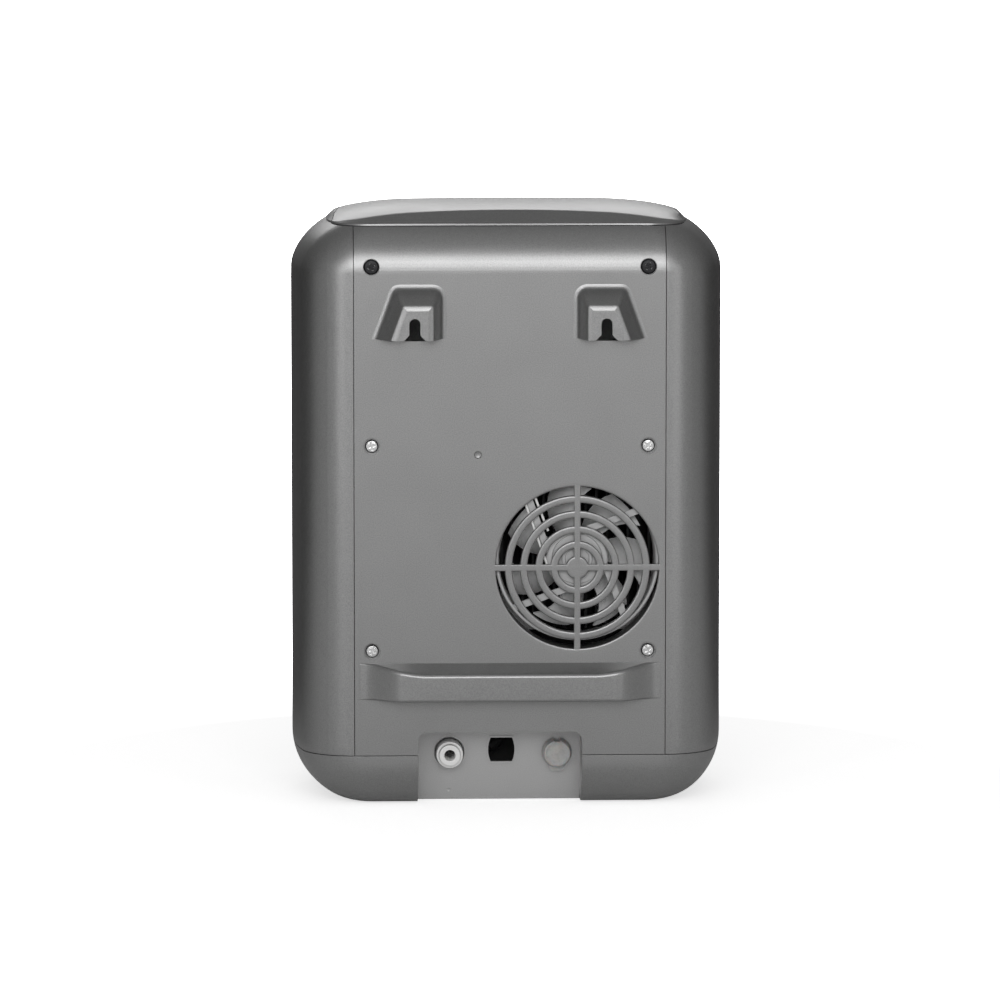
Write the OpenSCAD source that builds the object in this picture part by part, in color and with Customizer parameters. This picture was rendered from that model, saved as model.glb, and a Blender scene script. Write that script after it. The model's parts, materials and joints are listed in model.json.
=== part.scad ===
// Wall-hung drinking-water dispenser: pipe-fed, with an instant heater and a fan-cooled cold block.
// Millimetres. +Z up, front towards -Y, rear (wall side) towards +Y, origin under the middle of the base.

/* [Body] */
// Width of the body at its widest
body_w = 265; // [220:1:330]
// Depth of the body, front panel to rear panel
body_d = 156; // [150:1:190]
// Height to the crown of the top cover
body_h = 366; // [345:1:440]
// Wall thickness of the outer shells
wall = 2.8; // [2.2:0.1:3.4]
// Gap between neighbouring outer shells
seam = 0.4; // [0.3:0.1:0.6]
// Plan radius of the four upright corners
corner_r = 34; // [24:1:38]
// Height of the base shell
base_h = 32; // [28:1:40]

/* [Edges] */
// Radius of the edge above the rear and front panels
top_r = 36; // [28:1:40]
// Width of the side shoulders
shoulder_w = 74; // [50:1:80]
// Height of the side shoulders
shoulder_h = 41; // [34:1:50]
// Side radius of the base
foot_r = 40; // [30:1:40]
// Front and rear radius of the base
heel_r = 26; // [20:1:30]
// Rise of the top cover above its rear seam
cover_rise = 11; // [9:1:14]
// Half width of the top cover at its rear seam
cover_hw = 109; // [80:1:112]

/* [Wall hooks] */
// Distance between the two hanging slots
hook_pitch = 116; // [100:1:130]
// Distance that the hooks and the spacer bar stand off the rear panel
stand_off = 15; // [12:0.5:18]
// Width of a hanging slot
slot_w = 6.7; // [5.5:0.1:8]
// Drop of the hooks' lower edge under the crown
hook_drop = 78.5; // [70:0.5:90]
// Height of the spacer bar
bar_h = 23; // [18:1:28]
// Height of the spacer bar's lower edge
bar_z = 66; // [60:1:72]

/* [Fan and grille] */
// Side of the square fan frame
fan_size = 92; // [80:1:92]
// Outer radius of the fan's round shroud
fan_r = 50; // [47:0.5:51]
// Thickness of the fan frame
fan_t = 25; // [20:1:32]
// Radius of the grille opening in the rear panel
grille_r = 49.7; // [42:0.1:52]
// Width of a grille ring
ring_w = 4.3; // [3:0.1:5]
// Width of a grille spoke
spoke_w = 3.8; // [3:0.1:5]
// Height of the fan's axis
fan_z = 152.3; // [145:0.1:162]
// Sideways place of the fan's axis
fan_x = -41; // [-46:1:-36]

/* [Connections] */
// Width of the connection bay
bay_w = 100; // [90:1:110]
// Height of the connection bay
bay_h = 46.4; // [42:0.1:52]
// Depth of the connection bay
bay_d = 30; // [24:1:34]
// Radius of the inlet's tube bore, for 6.35 mm tube
tube_r = 3.25; // [3.2:0.01:3.3]
// Radius of the inlet collar
inlet_r = 8.2; // [7.5:0.1:9]
// Radius of the drain plug
plug_r = 9.2; // [8:0.1:10]
// Width of the mains cord hole
cord_w = 15.4; // [13:0.1:17]
// Height of the mains cord hole
cord_h = 14.4; // [12:0.1:16]

/* [Front] */
// Width of the dispensing alcove
alcove_w = 90; // [80:1:100]
// Height of the dispensing alcove above its floor
alcove_h = 160; // [140:1:170]
// Height of the drip tray
tray_h = 14; // [12:1:18]
// Radius of a control button
button_r = 6; // [5:0.1:7]
// Travel of a control button
button_travel = 0.6; // [0.4:0.1:0.8]

/* [Fasteners] */
// Sideways place of the rear panel's screws
screw_x = 84; // [80:1:86]
// Radius of a screw head
head_r = 4; // [3.5:0.1:4.5]
// Radius of a screw shank
shank_r = 1.9; // [1.5:0.1:2.2]

/* [Hidden] */
$fn = 48;
eps = 0.01;
seat = 0.3;            // gap between pieces that move past each other
shaft_gap = 0.05;      // running clearance of a shaft
thread_gap = 0.1;      // clearance of a screw shank in its boss

// Body
half_w = body_w / 2;
half_d = body_d / 2;
bow_a = 12;            // half angle of the bowed sides
cover_z = body_h - cover_rise;
arc_z = cover_z - 28;  // where the panels start to curve inwards
arc_y = half_d - top_r;
cover_y = arc_y + sqrt(pow(top_r, 2) - pow(cover_z - arc_z, 2));
crest_y = cover_y - 12;
shoulder_z = body_h - shoulder_h;
panel_hw = corner_x(half_w, half_d, corner_r);
cover_front_hw = max(cover_hw - 12, panel_hw + 3);
cover_corner_r = 15;
cover_nose_r = 4;
inner_y = half_d - wall;
floor_z = wall;        // top of the base shell's floor

// Chain of pieces from the rear panel forwards to the bulkhead
fan_y1 = inner_y - seat;
fan_y0 = fan_y1 - fan_t;
fin_t = 26;
sink_base_t = 6;
sink_y0 = fan_y0 - fin_t - sink_base_t;
module_t = 3.9;
block_t = 12;
block_y0 = sink_y0 - module_t - block_t;
bulk_t = 2.5;
bulk_y0 = block_y0 - bulk_t;
sink_size = fan_size;
block_size = 80;
module_size = 40;
fan_pitch = fan_size * 82.5 / 92;  // standard hole pitch of a 92 mm fan
hub_r = 18;
duct_r = fan_r - 2.5;
fan_flange_t = 5;
grille_z = fan_z - 5;
blade_r = duct_r - 1.5;
strut_t = 3;
fan_head_r = 3.2;
fan_pin_r = 1.5;

// Grille: ring gaps outside to inside, as [outer radius, inner radius]
ring_pitch = 9.3;
hole_r0 = grille_r - 5.5;
grille_gaps = [for (k = [0:4]) [
    k == 0 ? grille_r : hole_r0 - ring_w - (k - 1) * ring_pitch,
    k == 0 ? hole_r0 : hole_r0 - k * ring_pitch
]];

// Chassis
bulk_hw = half_w - 32.5;
shelf_z = base_h + 16 + alcove_h + 18;
shelf_t = 2.5;
shelf_y0 = -58;
shelf_y1 = 46;
flange_t = 2.5;
flange_x = -bulk_hw;
foot_hw = half_w - foot_r - wall - 4;
tank_ports = [[22, 30], [62, 40], [12, 34]];  // cold line, pump line, drain line
pass_x = [32, 48];
pass_y = bulk_y0 + 0.5;
pass_z = shelf_z - 10;

// Alcove and tray
alcove_z = base_h + 16;
alcove_top = alcove_z + alcove_h;
liner_t = 2;
alcove_back = bulk_y0 - seat - liner_t;
tray_gap = 0.5;
tray_t = 2;
grid_t = 2;
nozzle_y = -38;
nozzle_r = 15;

// Connections
bay_x = 6;
bay_t = 2;
bay_y = half_d - bay_d;
bay_corner = 5.5;
inlet_x = bay_x + 30.3;
cord_x = bay_x - 1.7;
plug_x = bay_x - 35.8;
port_z = 29.4;
cord_z = 31;
collet_r = 5.2;
collet_travel = 1.5;
collet_flange_r = 6.4;
collet_y0 = bay_y - 6;
inlet_y1 = bay_y + 11;
inlet_y0 = bay_y - 14;

// Hooks: outlines as [x outwards from the slot, height over the lower edge], drawn on below that edge
hook_z = body_h - hook_drop;
hook_tail = 20;
hook_base = [[-18.4, -hook_tail], [-18.4, 25.5], [-16.4, 30.4], [-11, 32.5], [9.8, 32.5], [14.2, 29.5],
    [32.3, -hook_tail]];
hook_top = [[-11, -hook_tail], [-11, 20.8], [6.4, 20.8], [20.6, -hook_tail]];
hook_wall = 2.4;
slot_top = 13.4;
slot_neck = 3.4;
slot_mouth = 6.5;

// Spacer bar
bar_hw = panel_hw - 2;
bar_ramp = 26;
bar_slope = 6;
bar_wall = 2.4;

// Screws: heights on the rear panel
top_screw_z = body_h - 35;
mid_screw_z = 222;
low_screw_z = 96.5;
cbore_r = head_r + 1.1;
cbore_t = 1.6;
tab_t = 2.6;
boss_r = 4;
boss_l = 9;
screw_l = 8;

// Front panel
lens_w = 96;
lens_h = 46;
lens_z = shelf_z + 30;
lens_t = 1.2;
button_z = shelf_z + 16;
button_pitch = 22;
button_gap = 0.3;
flange_r = button_r + 1.4;
board_y = -half_d + wall + 4.5;
board_t = 1.6;

// Water parts
heater_r = 20;
heater_x = bulk_hw - 25;
clip_t = 4;
heater_y = block_y0 + clip_t + heater_r;
heater_z0 = 72;
heater_l = 118;
pump_r = 17;
motor_r = 14;
pump_z = floor_z + 5;
pump_l = 22;
motor_l = 30;
barb_r = 2.6;
barb_l = 8;
hose_r = 4;
tank_x0 = -88;
tank_x1 = 70;
tank_y0 = -48;
tank_y1 = 42;
tank_h = 84;
tank_t = 2.2;
tank_z = shelf_z + shelf_t;
fill_x = 22;
fill_z = tank_z + 60;
float_x = -40;
stem_r = 3;
valve_w = 24;
valve_d = 22;
valve_h = 19;
valve_y1 = inlet_y0;
valve_y0 = valve_y1 - valve_d;
valve_z0 = port_z - valve_h / 2;
coil_h = 24;
plunger_r = 4.9;
plunger_l = 14;
plunger_travel = 3;

// x of the centre of a plan corner, for a half width w, half depth h and corner radius r
function bow_r(h, r) = (h - r + r * sin(bow_a)) / sin(bow_a);
function corner_x(w, h, r) = w - bow_r(h, r) * (1 - cos(bow_a)) - r * cos(bow_a);

// Quarter of a plan outline: half of a bowed side, then a corner arc that ends on the flat rear
function quarter(w, h, r) = concat(
    [for (a = [0:4:bow_a - 1]) [w - bow_r(h, r) * (1 - cos(a)), bow_r(h, r) * sin(a)]],
    [for (a = [bow_a:13:90]) [corner_x(w, h, r) + r * cos(a), h - r + r * sin(a)]]
);
function flip(points, sx, sy) = [for (p = points) [p[0] * sx, p[1] * sy]];
function backwards(points) = [for (k = [len(points) - 1:-1:0]) points[k]];

module plan(w, h, r) {
    q = quarter(w, h, r);
    polygon(concat(q, backwards(flip(q, -1, 1)), flip(q, -1, -1), backwards(flip(q, 1, -1))));
}

// Half width and half depth of the body at height z
function width_at(z) = z > shoulder_z
    ? half_w - shoulder_w * (1 - sqrt(max(0, 1 - pow((z - shoulder_z) / shoulder_h, 2))))
    : z < foot_r ? half_w - foot_r + sqrt(pow(foot_r, 2) - pow(foot_r - z, 2)) : half_w;
function depth_at(z) = z > cover_z
    ? lookup(z, [[cover_z, cover_y], [body_h - 3.4, crest_y], [body_h - 0.6, crest_y - 25], [body_h, 8]])
    : z > arc_z ? arc_y + sqrt(pow(top_r, 2) - pow(z - arc_z, 2))
    : z < heel_r ? half_d - heel_r + sqrt(pow(heel_r, 2) - pow(heel_r - z, 2)) : half_d;

body_levels = concat(
    [for (a = [0:15:90]) foot_r * (1 - cos(a))],
    [for (k = [0:5]) arc_z + (cover_z - arc_z) * k / 5],
    [body_h - 7, body_h - 3.4, body_h - 0.6, body_h]
);

// The whole body as one solid, with every face moved inwards by inset
module form(inset = 0) {
    hull() for (z = body_levels) {
        w = width_at(z) - inset;
        h = depth_at(z) - inset;
        lift = z > body_h / 2 ? -inset - eps : inset;
        translate([0, 0, z + lift]) linear_extrude(eps) plan(w, h, max(3, corner_r - half_d + h));
    }
}

module skin() difference() { form(); form(wall); }

// Resolves a curved shell as a single mesh, with its size as it is
module one_mesh() resize([0, 0, 0]) children();

// Extrusions: of an x-z outline from y0 to y1, and of a y-z outline from x0 to x1
module along_y(y0, y1) translate([0, y1, 0]) rotate([90, 0, 0]) linear_extrude(y1 - y0) children();
module along_x(x0, x1) translate([x0, 0, 0]) rotate([90, 0, 90]) linear_extrude(x1 - x0) children();
module rod_y(x, z, y0, y1, r) translate([x, y0, z]) rotate([-90, 0, 0]) cylinder(h = y1 - y0, r = r);
module rod_x(x0, x1, y, z, r) translate([x0, y, z]) rotate([0, 90, 0]) cylinder(h = x1 - x0, r = r);
module rod_z(x, y, z0, z1, r) translate([x, y, z0]) cylinder(h = z1 - z0, r = r);
module box(x0, x1, y0, y1, z0, z1) translate([x0, y0, z0]) cube([x1 - x0, y1 - y0, z1 - z0]);
module rounded(x0, x1, z0, z1, r) {
    translate([x0 + r, z0]) square([x1 - x0 - 2 * r, z1 - z0]);
    translate([x0, z0 + r]) square([x1 - x0, z1 - z0 - 2 * r]);
    for (x = [x0 + r, x1 - r], z = [z0 + r, z1 - r]) translate([x, z]) circle(r);
}

// Hose of radius r on a smooth curve through hand-picked points
function spline(a, b, c, d, t) = 0.5 * (2 * b + (c - a) * t + (2 * a - 5 * b + 4 * c - d) * t * t
    + (3 * b - a - 3 * c + d) * t * t * t);
function unit(v) = v / norm(v);
function ring(p, dir, r, n) = let (
    side = unit(cross(dir, abs(dir[0]) < 0.9 ? [1, 0, 0] : [0, 1, 0])),
    up = cross(side, dir)
) [for (k = [0:n - 1]) p + r * (cos(360 * k / n) * side + sin(360 * k / n) * up)];
module hose(points, r = hose_r, sides = 10, steps = 4) {
    last = len(points) - 1;
    path = [for (i = [0:last - 1], k = [0:steps - 1])
        spline(points[max(i - 1, 0)], points[i], points[i + 1], points[min(i + 2, last)], k / steps), points[last]];
    rings = len(path) - 1;
    dirs = [for (k = [0:rings]) k == 0 ? unit(points[1] - points[0])
        : k == rings ? unit(points[last] - points[last - 1]) : unit(path[k + 1] - path[k - 1])];
    verts = [for (k = [0:rings]) each ring(path[k], dirs[k], r, sides)];
    walls = [for (k = [0:rings - 1], j = [0:sides - 1]) let (
        a = k * sides + j, b = k * sides + (j + 1) % sides
    ) each [[a, b, b + sides], [a, b + sides, a + sides]]];
    start = [for (j = [sides - 1:-1:0]) j];
    end = [for (j = [0:sides - 1]) rings * sides + j];
    polyhedron(verts, concat(walls, [start, end]));
}

// ---------------------------------------------------------------- outer shells

module panel_profile() {
    z0 = base_h + seam / 2;
    translate([inner_y, z0]) square([wall, arc_z - z0]);
    translate([arc_y, arc_z]) intersection() {
        difference() { circle(top_r, $fn = 96); circle(top_r - wall, $fn = 96); }
        translate([cover_y + seam - arc_y, 0]) square(2 * top_r);
    }
}

module hook_form(side, inset) hull() {
    along_y(inner_y - 1, half_d + 0.5 - inset) offset(delta = -inset) polygon(flip(hook_base, side, 1));
    along_y(half_d, half_d + stand_off - inset) offset(delta = -inset) polygon(flip(hook_top, side, 1));
}

// Hollow under a hook: open downwards in front of the panel, and open to the inside above its edge
module hook_hollow(side) difference() {
    hook_form(side, hook_wall);
    box(-50, 50, 0, half_d, -hook_tail, hook_wall);
}

module hook_place(side) translate([side * hook_pitch / 2, 0, hook_z]) children();

module hanging_slot() {
    r = slot_w / 2;
    along_y(half_d + stand_off - hook_wall - 2, half_d + stand_off + 1) {
        translate([0, slot_top - r]) circle(r);
        translate([-r, -2]) square([slot_w, slot_top - r + 2]);
        polygon([[-slot_mouth - 2, -2], [slot_mouth + 2, -2], [r, slot_neck], [-r, slot_neck]]);
    }
}

function ramp(t) = t <= 0 ? 0 : t >= 1 ? 1 : (1 - cos(180 * t)) / 2;
module bar_solid(inset) {
    n = 8;
    steps = [for (k = [0:n]) k / n];
    reach = stand_off + 0.5 - inset;
    hw = bar_hw - inset;
    edge = concat([for (t = steps) [-hw + bar_ramp * t, half_d + reach * ramp(t)]],
        [for (t = steps) [hw - bar_ramp * (1 - t), half_d + reach * ramp(1 - t)]]);
    intersection() {
        translate([0, 0, bar_z + inset]) linear_extrude(bar_h - 2 * inset)
            polygon(concat([[-hw, inner_y - 1]], edge, [[hw, inner_y - 1]]));
        along_x(-hw, hw) polygon([
            [inner_y - 1, bar_z + inset], [half_d + reach, bar_z + inset],
            [half_d + reach, bar_z + bar_h - bar_slope - inset], [half_d, bar_z + bar_h - inset],
            [inner_y - 1, bar_z + bar_h - inset]]);
    }
}

module grille_cut() {
    translate([fan_x, 0, grille_z]) difference() {
        for (g = grille_gaps) difference() {
            rod_y(0, 0, inner_y - 1, half_d + 1, g[0]);
            rod_y(0, 0, inner_y - 2, half_d + 2, g[1]);
        }
        box(-spoke_w / 2, spoke_w / 2, inner_y - 3, half_d + 3, -grille_r - 1, grille_r + 1);
        box(-grille_r - 1, grille_r + 1, inner_y - 3, half_d + 3, -spoke_w / 2, spoke_w / 2);
    }
}

module bay_outline(grow = 0) {
    x0 = bay_x - bay_w / 2 - grow;
    x1 = bay_x + bay_w / 2 + grow;
    z1 = bay_h + grow;
    r = bay_corner + grow;
    translate([x0, -5]) square([x1 - x0, z1 - r + 5]);
    translate([x0 + r, 0]) square([x1 - x0 - 2 * r, z1]);
    for (x = [x0 + r, x1 - r]) translate([x, z1 - r]) circle(r);
}

module rear_panel() color("slategray") {
    hw = panel_hw - seam / 2;
    difference() {
        union() {
            along_x(-hw, hw) panel_profile();
            bar_solid(0);
            for (s = [-1, 1]) hook_place(s) difference() {
                hook_form(s, 0);
                box(-50, 50, 0, 200, -hook_tail - 1, 0);
            }
        }
        bar_solid(bar_wall);
        box(-200, 200, 0, inner_y, 0, body_h - 60);
        for (s = [-1, 1]) hook_place(s) {
            hook_hollow(s);
            hanging_slot();
        }
        grille_cut();
        along_y(0, half_d + 1) bay_outline();
        for (s = [-1, 1], z = [mid_screw_z, low_screw_z, top_screw_z]) {
            rod_y(s * screw_x, z, inner_y - 1, half_d + 1, shank_r + 0.3);
            rod_y(s * screw_x, z, half_d - cbore_t, half_d + 1, cbore_r);
        }
    }
}

module cover_plan(grow) {
    hull() for (s = [-1, 1]) {
        translate([s * (cover_hw - cover_corner_r), cover_y - cover_corner_r]) circle(cover_corner_r + grow);
        translate([s * (cover_front_hw - cover_nose_r), cover_nose_r - cover_y]) circle(cover_nose_r + grow);
    }
}

module screw_tab(side, z) {
    y1 = z > arc_z ? inner_y - 1.2 : inner_y - 0.1;
    x0 = screw_x - boss_r - 1;
    difference() {
        union() {
            box(min(side * x0, side * (half_w - 22)), max(side * x0, side * (half_w - 22)),
                y1 - tab_t, y1, z - 12, z + boss_r);
            rod_y(side * screw_x, z, y1 - boss_l, y1, boss_r);
        }
        rod_y(side * screw_x, z, y1 - boss_l - 1, y1 + 1, shank_r + thread_gap);
    }
}

module side_shell(side) color("dimgray") one_mesh() {
    x0 = panel_hw + seam / 2;
    difference() {
        skin();
        box(-side * x0 - (side > 0 ? 300 : 0), -side * x0 + (side > 0 ? 0 : 300), -200, 200, -10, 500);
        box(-x0, x0, -200, 200, -10, cover_z - 20);
        box(-300, 300, -200, 200, -10, base_h + seam / 2);
        translate([0, 0, cover_z - 40]) linear_extrude(100) cover_plan(seam);
        along_x(-x0, x0) polygon([[-200, 0], [200, 0], [200, 500], [-200, 500]]);
    }
    intersection() {
        form(wall / 2);
        for (z = [mid_screw_z, low_screw_z, top_screw_z]) screw_tab(side, z);
    }
}

module base_shell() color("dimgray") one_mesh() {
    difference() {
        form();
        form(wall);
        box(-300, 300, -200, 200, base_h - seam / 2, 500);
        along_y(bay_y, 200) bay_outline();
    }
}

module top_cover() color("silver") one_mesh() {
    intersection() {
        skin();
        translate([0, 0, cover_z - 40]) linear_extrude(100) cover_plan(0);
    }
}

module front_panel() color("slategray") {
    hw = panel_hw - seam / 2;
    difference() {
        mirror([0, 1, 0]) along_x(-hw, hw) panel_profile();
        along_y(-half_d - 1, 0) rounded(-alcove_w / 2, alcove_w / 2, alcove_z, alcove_top, 8);
        along_y(-half_d - 1, -half_d + lens_t) rounded(-lens_w / 2, lens_w / 2, lens_z, lens_z + lens_h, 6);
        along_y(-half_d - 1, 0) rounded(-lens_w / 2 + 3, lens_w / 2 - 3, lens_z + 3, lens_z + lens_h - 3, 4);
        for (k = [-1.5:1:1.5])
            rod_y(k * button_pitch, button_z, -half_d - 1, 0, button_r + button_gap);
    }
    for (s = [-1, 1], z = [button_z - 6, lens_z + lens_h + 5])
        rod_y(s * (lens_w / 2 - 4), z, -inner_y - 0.1, board_y, 2.5);
}

// ---------------------------------------------------------------- inner structure

// Side outline of the space above the base shell's floor, kept clear of its curved rear wall
module heel_side(gap) {
    y = half_d - heel_r - gap;
    translate([0, gap]) square([y, body_h]);
    translate([y, heel_r + gap]) {
        circle(heel_r);
        square([heel_r, body_h]);
    }
}

module connection_bay() color("gray") difference() {
    intersection() {
        along_y(bay_y - bay_t, inner_y - seat) bay_outline(bay_t);
        along_x(-half_w, half_w) heel_side(wall + 0.4);
    }
    along_y(bay_y, half_d) bay_outline();
    rod_y(inlet_x, port_z, bay_y - 5, bay_y + 5, inlet_r - 1);
    rod_y(plug_x, port_z, bay_y - 5, bay_y + 5, plug_r - 1.4);
    along_y(bay_y - 5, bay_y + 5) cord_outline();
}

module cord_outline() translate([cord_x, cord_z]) intersection() {
    square([cord_w, cord_h], center = true);
    circle(sqrt(pow(cord_w / 2 - 1.4, 2) + pow(cord_h / 2, 2)));
}

module alcove_liner() color("darkslategray") difference() {
    along_y(-inner_y, alcove_back + liner_t) rounded(-alcove_w / 2 - liner_t, alcove_w / 2 + liner_t,
        alcove_z - liner_t, alcove_top + liner_t, 8 + liner_t);
    along_y(-inner_y - 1, alcove_back) rounded(-alcove_w / 2, alcove_w / 2, alcove_z, alcove_top, 8);
    rod_z(0, nozzle_y, alcove_top - 5, alcove_top + 5, nozzle_r - 3);
}

module chassis() color("gainsboro") {
    y1 = block_y0;
    difference() {
        union() {
            box(-bulk_hw, bulk_hw, bulk_y0, y1, floor_z + 12, shelf_z);
            box(-foot_hw, foot_hw, bulk_y0, y1, floor_z, floor_z + 12);
            for (x = [-foot_hw, foot_hw - 30]) box(x, x + 30, bulk_y0 - 14, bulk_y0, floor_z, floor_z + 2);
        }
        for (x = pass_x) rod_y(x, pass_z, bulk_y0 - 1, y1 + 1, hose_r + 1.5);
    }
    difference() {
        box(-bulk_hw, bulk_hw, shelf_y0, shelf_y1, shelf_z, shelf_z + shelf_t);
        for (p = tank_ports) rod_z(p[0], p[1], shelf_z - 1, shelf_z + shelf_t + 1, hose_r + 0.5);
    }
    box(flange_x, flange_x + flange_t, y1, shelf_y1, fan_z - 45, shelf_z);
    for (z = [fan_z - 38, shelf_z - 12], y = [y1 + 6, shelf_y1 - 6])
        rod_x(flange_x - 4, flange_x, y, z, 3);
}

module screw(x, z, y_seat, length, head_t) {
    rod_y(x, z, y_seat - length, y_seat, shank_r);
    difference() {
        rod_y(x, z, y_seat, y_seat + head_t, head_r);
        for (a = [0, 90]) translate([x, y_seat + head_t, z]) rotate([0, a, 0]) cube([5, 1.6, 1.1], center = true);
    }
}

module panel_screws() color("lightgray")
    for (s = [-1, 1], z = [mid_screw_z, low_screw_z])
        screw(s * screw_x, z, half_d - cbore_t, screw_l, 2);

module top_screws() color("black")
    for (s = [-1, 1]) screw(s * screw_x, top_screw_z, half_d - cbore_t, screw_l, 1.4);

// ---------------------------------------------------------------- fan and cold side

module fan_corners() for (sx = [-1, 1], sz = [-1, 1])
    translate([fan_x + sx * fan_pitch / 2, 0, fan_z + sz * fan_pitch / 2]) children();

module fan_frame() color("silver") {
    bars = fan_size / 2;
    difference() {
        union() {
            along_y(fan_y0, fan_y0 + fan_flange_t)
                rounded(fan_x - bars, fan_x + bars, fan_z - bars, fan_z + bars, 5);
            rod_y(fan_x, fan_z, fan_y0, fan_y1, fan_r);
        }
        rod_y(fan_x, fan_z, fan_y0 - 1, fan_y1 + 1, duct_r);
        fan_corners() {
            rod_y(0, 0, fan_y0 - 1, fan_y1 + 1, shank_r + thread_gap);
            rod_y(0, 0, fan_y0 + fan_flange_t, fan_y1 + 1, fan_head_r + 0.4);
        }
    }
    difference() {
        union() {
            rod_y(fan_x, fan_z, fan_y1 - strut_t, fan_y1, hub_r);
            for (a = [20:90:290]) translate([fan_x, 0, fan_z]) rotate([0, 180 + a, 0])
                box(hub_r - 8, duct_r - 1, fan_y1 - strut_t, fan_y1, -hub_r + 1, -hub_r + 5);
        }
        rod_y(fan_x, fan_z, fan_y1 - strut_t - 1, fan_y1 - 1, fan_pin_r + shaft_gap);
    }
}

module fan_rotor() color("lightgray") translate([fan_x, 0, fan_z]) {
    y0 = fan_y0 + 3;
    y1 = fan_y1 - strut_t - 1;
    rod_y(0, 0, y0, y1, hub_r);
    rod_y(0, 0, y1, fan_y1 - 1.2, fan_pin_r);
    intersection() {
        for (k = [0:6]) rotate([0, k * 360 / 7, 0]) translate([hub_r - 1, (y0 + y1) / 2, 0])
            rotate([38, 0, 0]) box(0, blade_r, -1, 1, -12.5, 12.5);
        difference() {
            rod_y(0, 0, y0 + 0.5, y1 - 0.5, blade_r);
            rod_y(0, 0, y0, y1, hub_r - 0.5);
        }
    }
}

module fan_screws() color("silver") fan_corners() {
    rod_y(0, 0, fan_y0 - 8, fan_y0 + fan_flange_t, shank_r);
    rod_y(0, 0, fan_y0 + fan_flange_t, fan_y0 + fan_flange_t + 2.4, fan_head_r);
}

module heat_sink() color("silver") {
    half = sink_size / 2;
    fins = 15;
    pitch = (sink_size - 1.6) / (fins - 1);
    box(fan_x - half, fan_x + half, sink_y0, sink_y0 + sink_base_t, fan_z - half, fan_z + half);
    difference() {
        for (k = [0:fins - 1]) box(fan_x - half + k * pitch, fan_x - half + k * pitch + 1.6,
            sink_y0 + sink_base_t, fan_y0, fan_z - half, fan_z + half);
        fan_corners() rod_y(0, 0, sink_y0 + sink_base_t, fan_y0 + 1, 5);
    }
    difference() {
        fan_corners() rod_y(0, 0, sink_y0 + sink_base_t, fan_y0, 4.4);
        fan_corners() rod_y(0, 0, fan_y0 - 10, fan_y0 + 1, shank_r + thread_gap);
    }
}

module cooling_module() color("white")
    box(fan_x - module_size / 2, fan_x + module_size / 2, block_y0 + block_t, sink_y0,
        fan_z - module_size / 2, fan_z + module_size / 2);

module barb_x(x0, y, z, dir = 1) rod_x(dir > 0 ? x0 : x0 - barb_l, dir > 0 ? x0 + barb_l : x0, y, z, barb_r);

block_barb_x = fan_x + block_size / 2;
block_barb_y = block_y0 + block_t / 2;
module cold_block() color("lightsteelblue") {
    half = block_size / 2;
    box(fan_x - half, fan_x + half, block_y0, block_y0 + block_t, fan_z - half, fan_z + half);
    for (s = [-1, 1]) barb_x(block_barb_x, block_barb_y, fan_z + s * 28);
}

// ---------------------------------------------------------------- tank, heater and pump

module buffer_tank() color("whitesmoke") {
    difference() {
        box(tank_x0, tank_x1, tank_y0, tank_y1, tank_z, tank_z + tank_h);
        box(tank_x0 + tank_t, tank_x1 - tank_t, tank_y0 + tank_t, tank_y1 - tank_t,
            tank_z + tank_t, tank_z + tank_h + 1);
        rod_y(fill_x, fill_z, tank_y1 - tank_t - 1, tank_y1 + 1, barb_r - 1);
    }
    for (p = tank_ports) rod_z(p[0], p[1], shelf_z - 4, tank_z, barb_r);
    difference() {
        rod_y(fill_x, fill_z, tank_y1, tank_y1 + barb_l, barb_r);
        rod_y(fill_x, fill_z, tank_y1 - 1, tank_y1 + barb_l + 1, barb_r - 1);
    }
}

module tank_cap() color("lightblue") difference() {
    union() {
        box(tank_x0 - 1, tank_x1 + 1, tank_y0 - 1, tank_y1 + 1, tank_z + tank_h, tank_z + tank_h + 3);
        box(tank_x0 + tank_t + 0.2, tank_x1 - tank_t - 0.2, tank_y0 + tank_t + 0.2, tank_y1 - tank_t - 0.2,
            tank_z + tank_h - 4, tank_z + tank_h);
    }
    box(tank_x0 + tank_t + 3, tank_x1 - tank_t - 3, tank_y0 + tank_t + 3, tank_y1 - tank_t - 3,
        tank_z + tank_h - 5, tank_z + tank_h);
    rod_z(float_x, 0, tank_z + tank_h - 6, tank_z + tank_h + 4, stem_r + 0.2);
}

module float_stem() color("white") {
    top = tank_z + tank_h + 3;
    rod_z(float_x, 0, tank_z + 14, top + 6, stem_r);
    rod_z(float_x, 0, top, top + 2, 8);
    rod_z(float_x, 0, tank_z + 14, tank_z + 16, stem_r + 2);
}

module level_float() color("ivory") difference() {
    rod_z(float_x, 0, tank_z + 16 + seat, tank_z + 34, 11);
    rod_z(float_x, 0, tank_z + 15, tank_z + 35, stem_r + shaft_gap);
}

module heater() color("silver") {
    rod_z(heater_x, heater_y, heater_z0, heater_z0 + heater_l, heater_r);
    rod_z(heater_x, heater_y, heater_z0 + heater_l, heater_z0 + heater_l + 6, heater_r - 6);
    rod_z(heater_x, heater_y, heater_z0 + heater_l + 6, heater_z0 + heater_l + 6 + barb_l, barb_r);
    rod_y(heater_x, heater_z0 + 10, heater_y + heater_r - 1, heater_y + heater_r + barb_l, barb_r);
}

module heater_clips() color("dimgray") for (z = [heater_z0 + 20, heater_z0 + heater_l - 30]) difference() {
    box(heater_x - 22, heater_x + 22, block_y0, heater_y, z, z + 10);
    rod_z(heater_x, heater_y, z - 1, z + 11, heater_r + 0.1);
}

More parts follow.
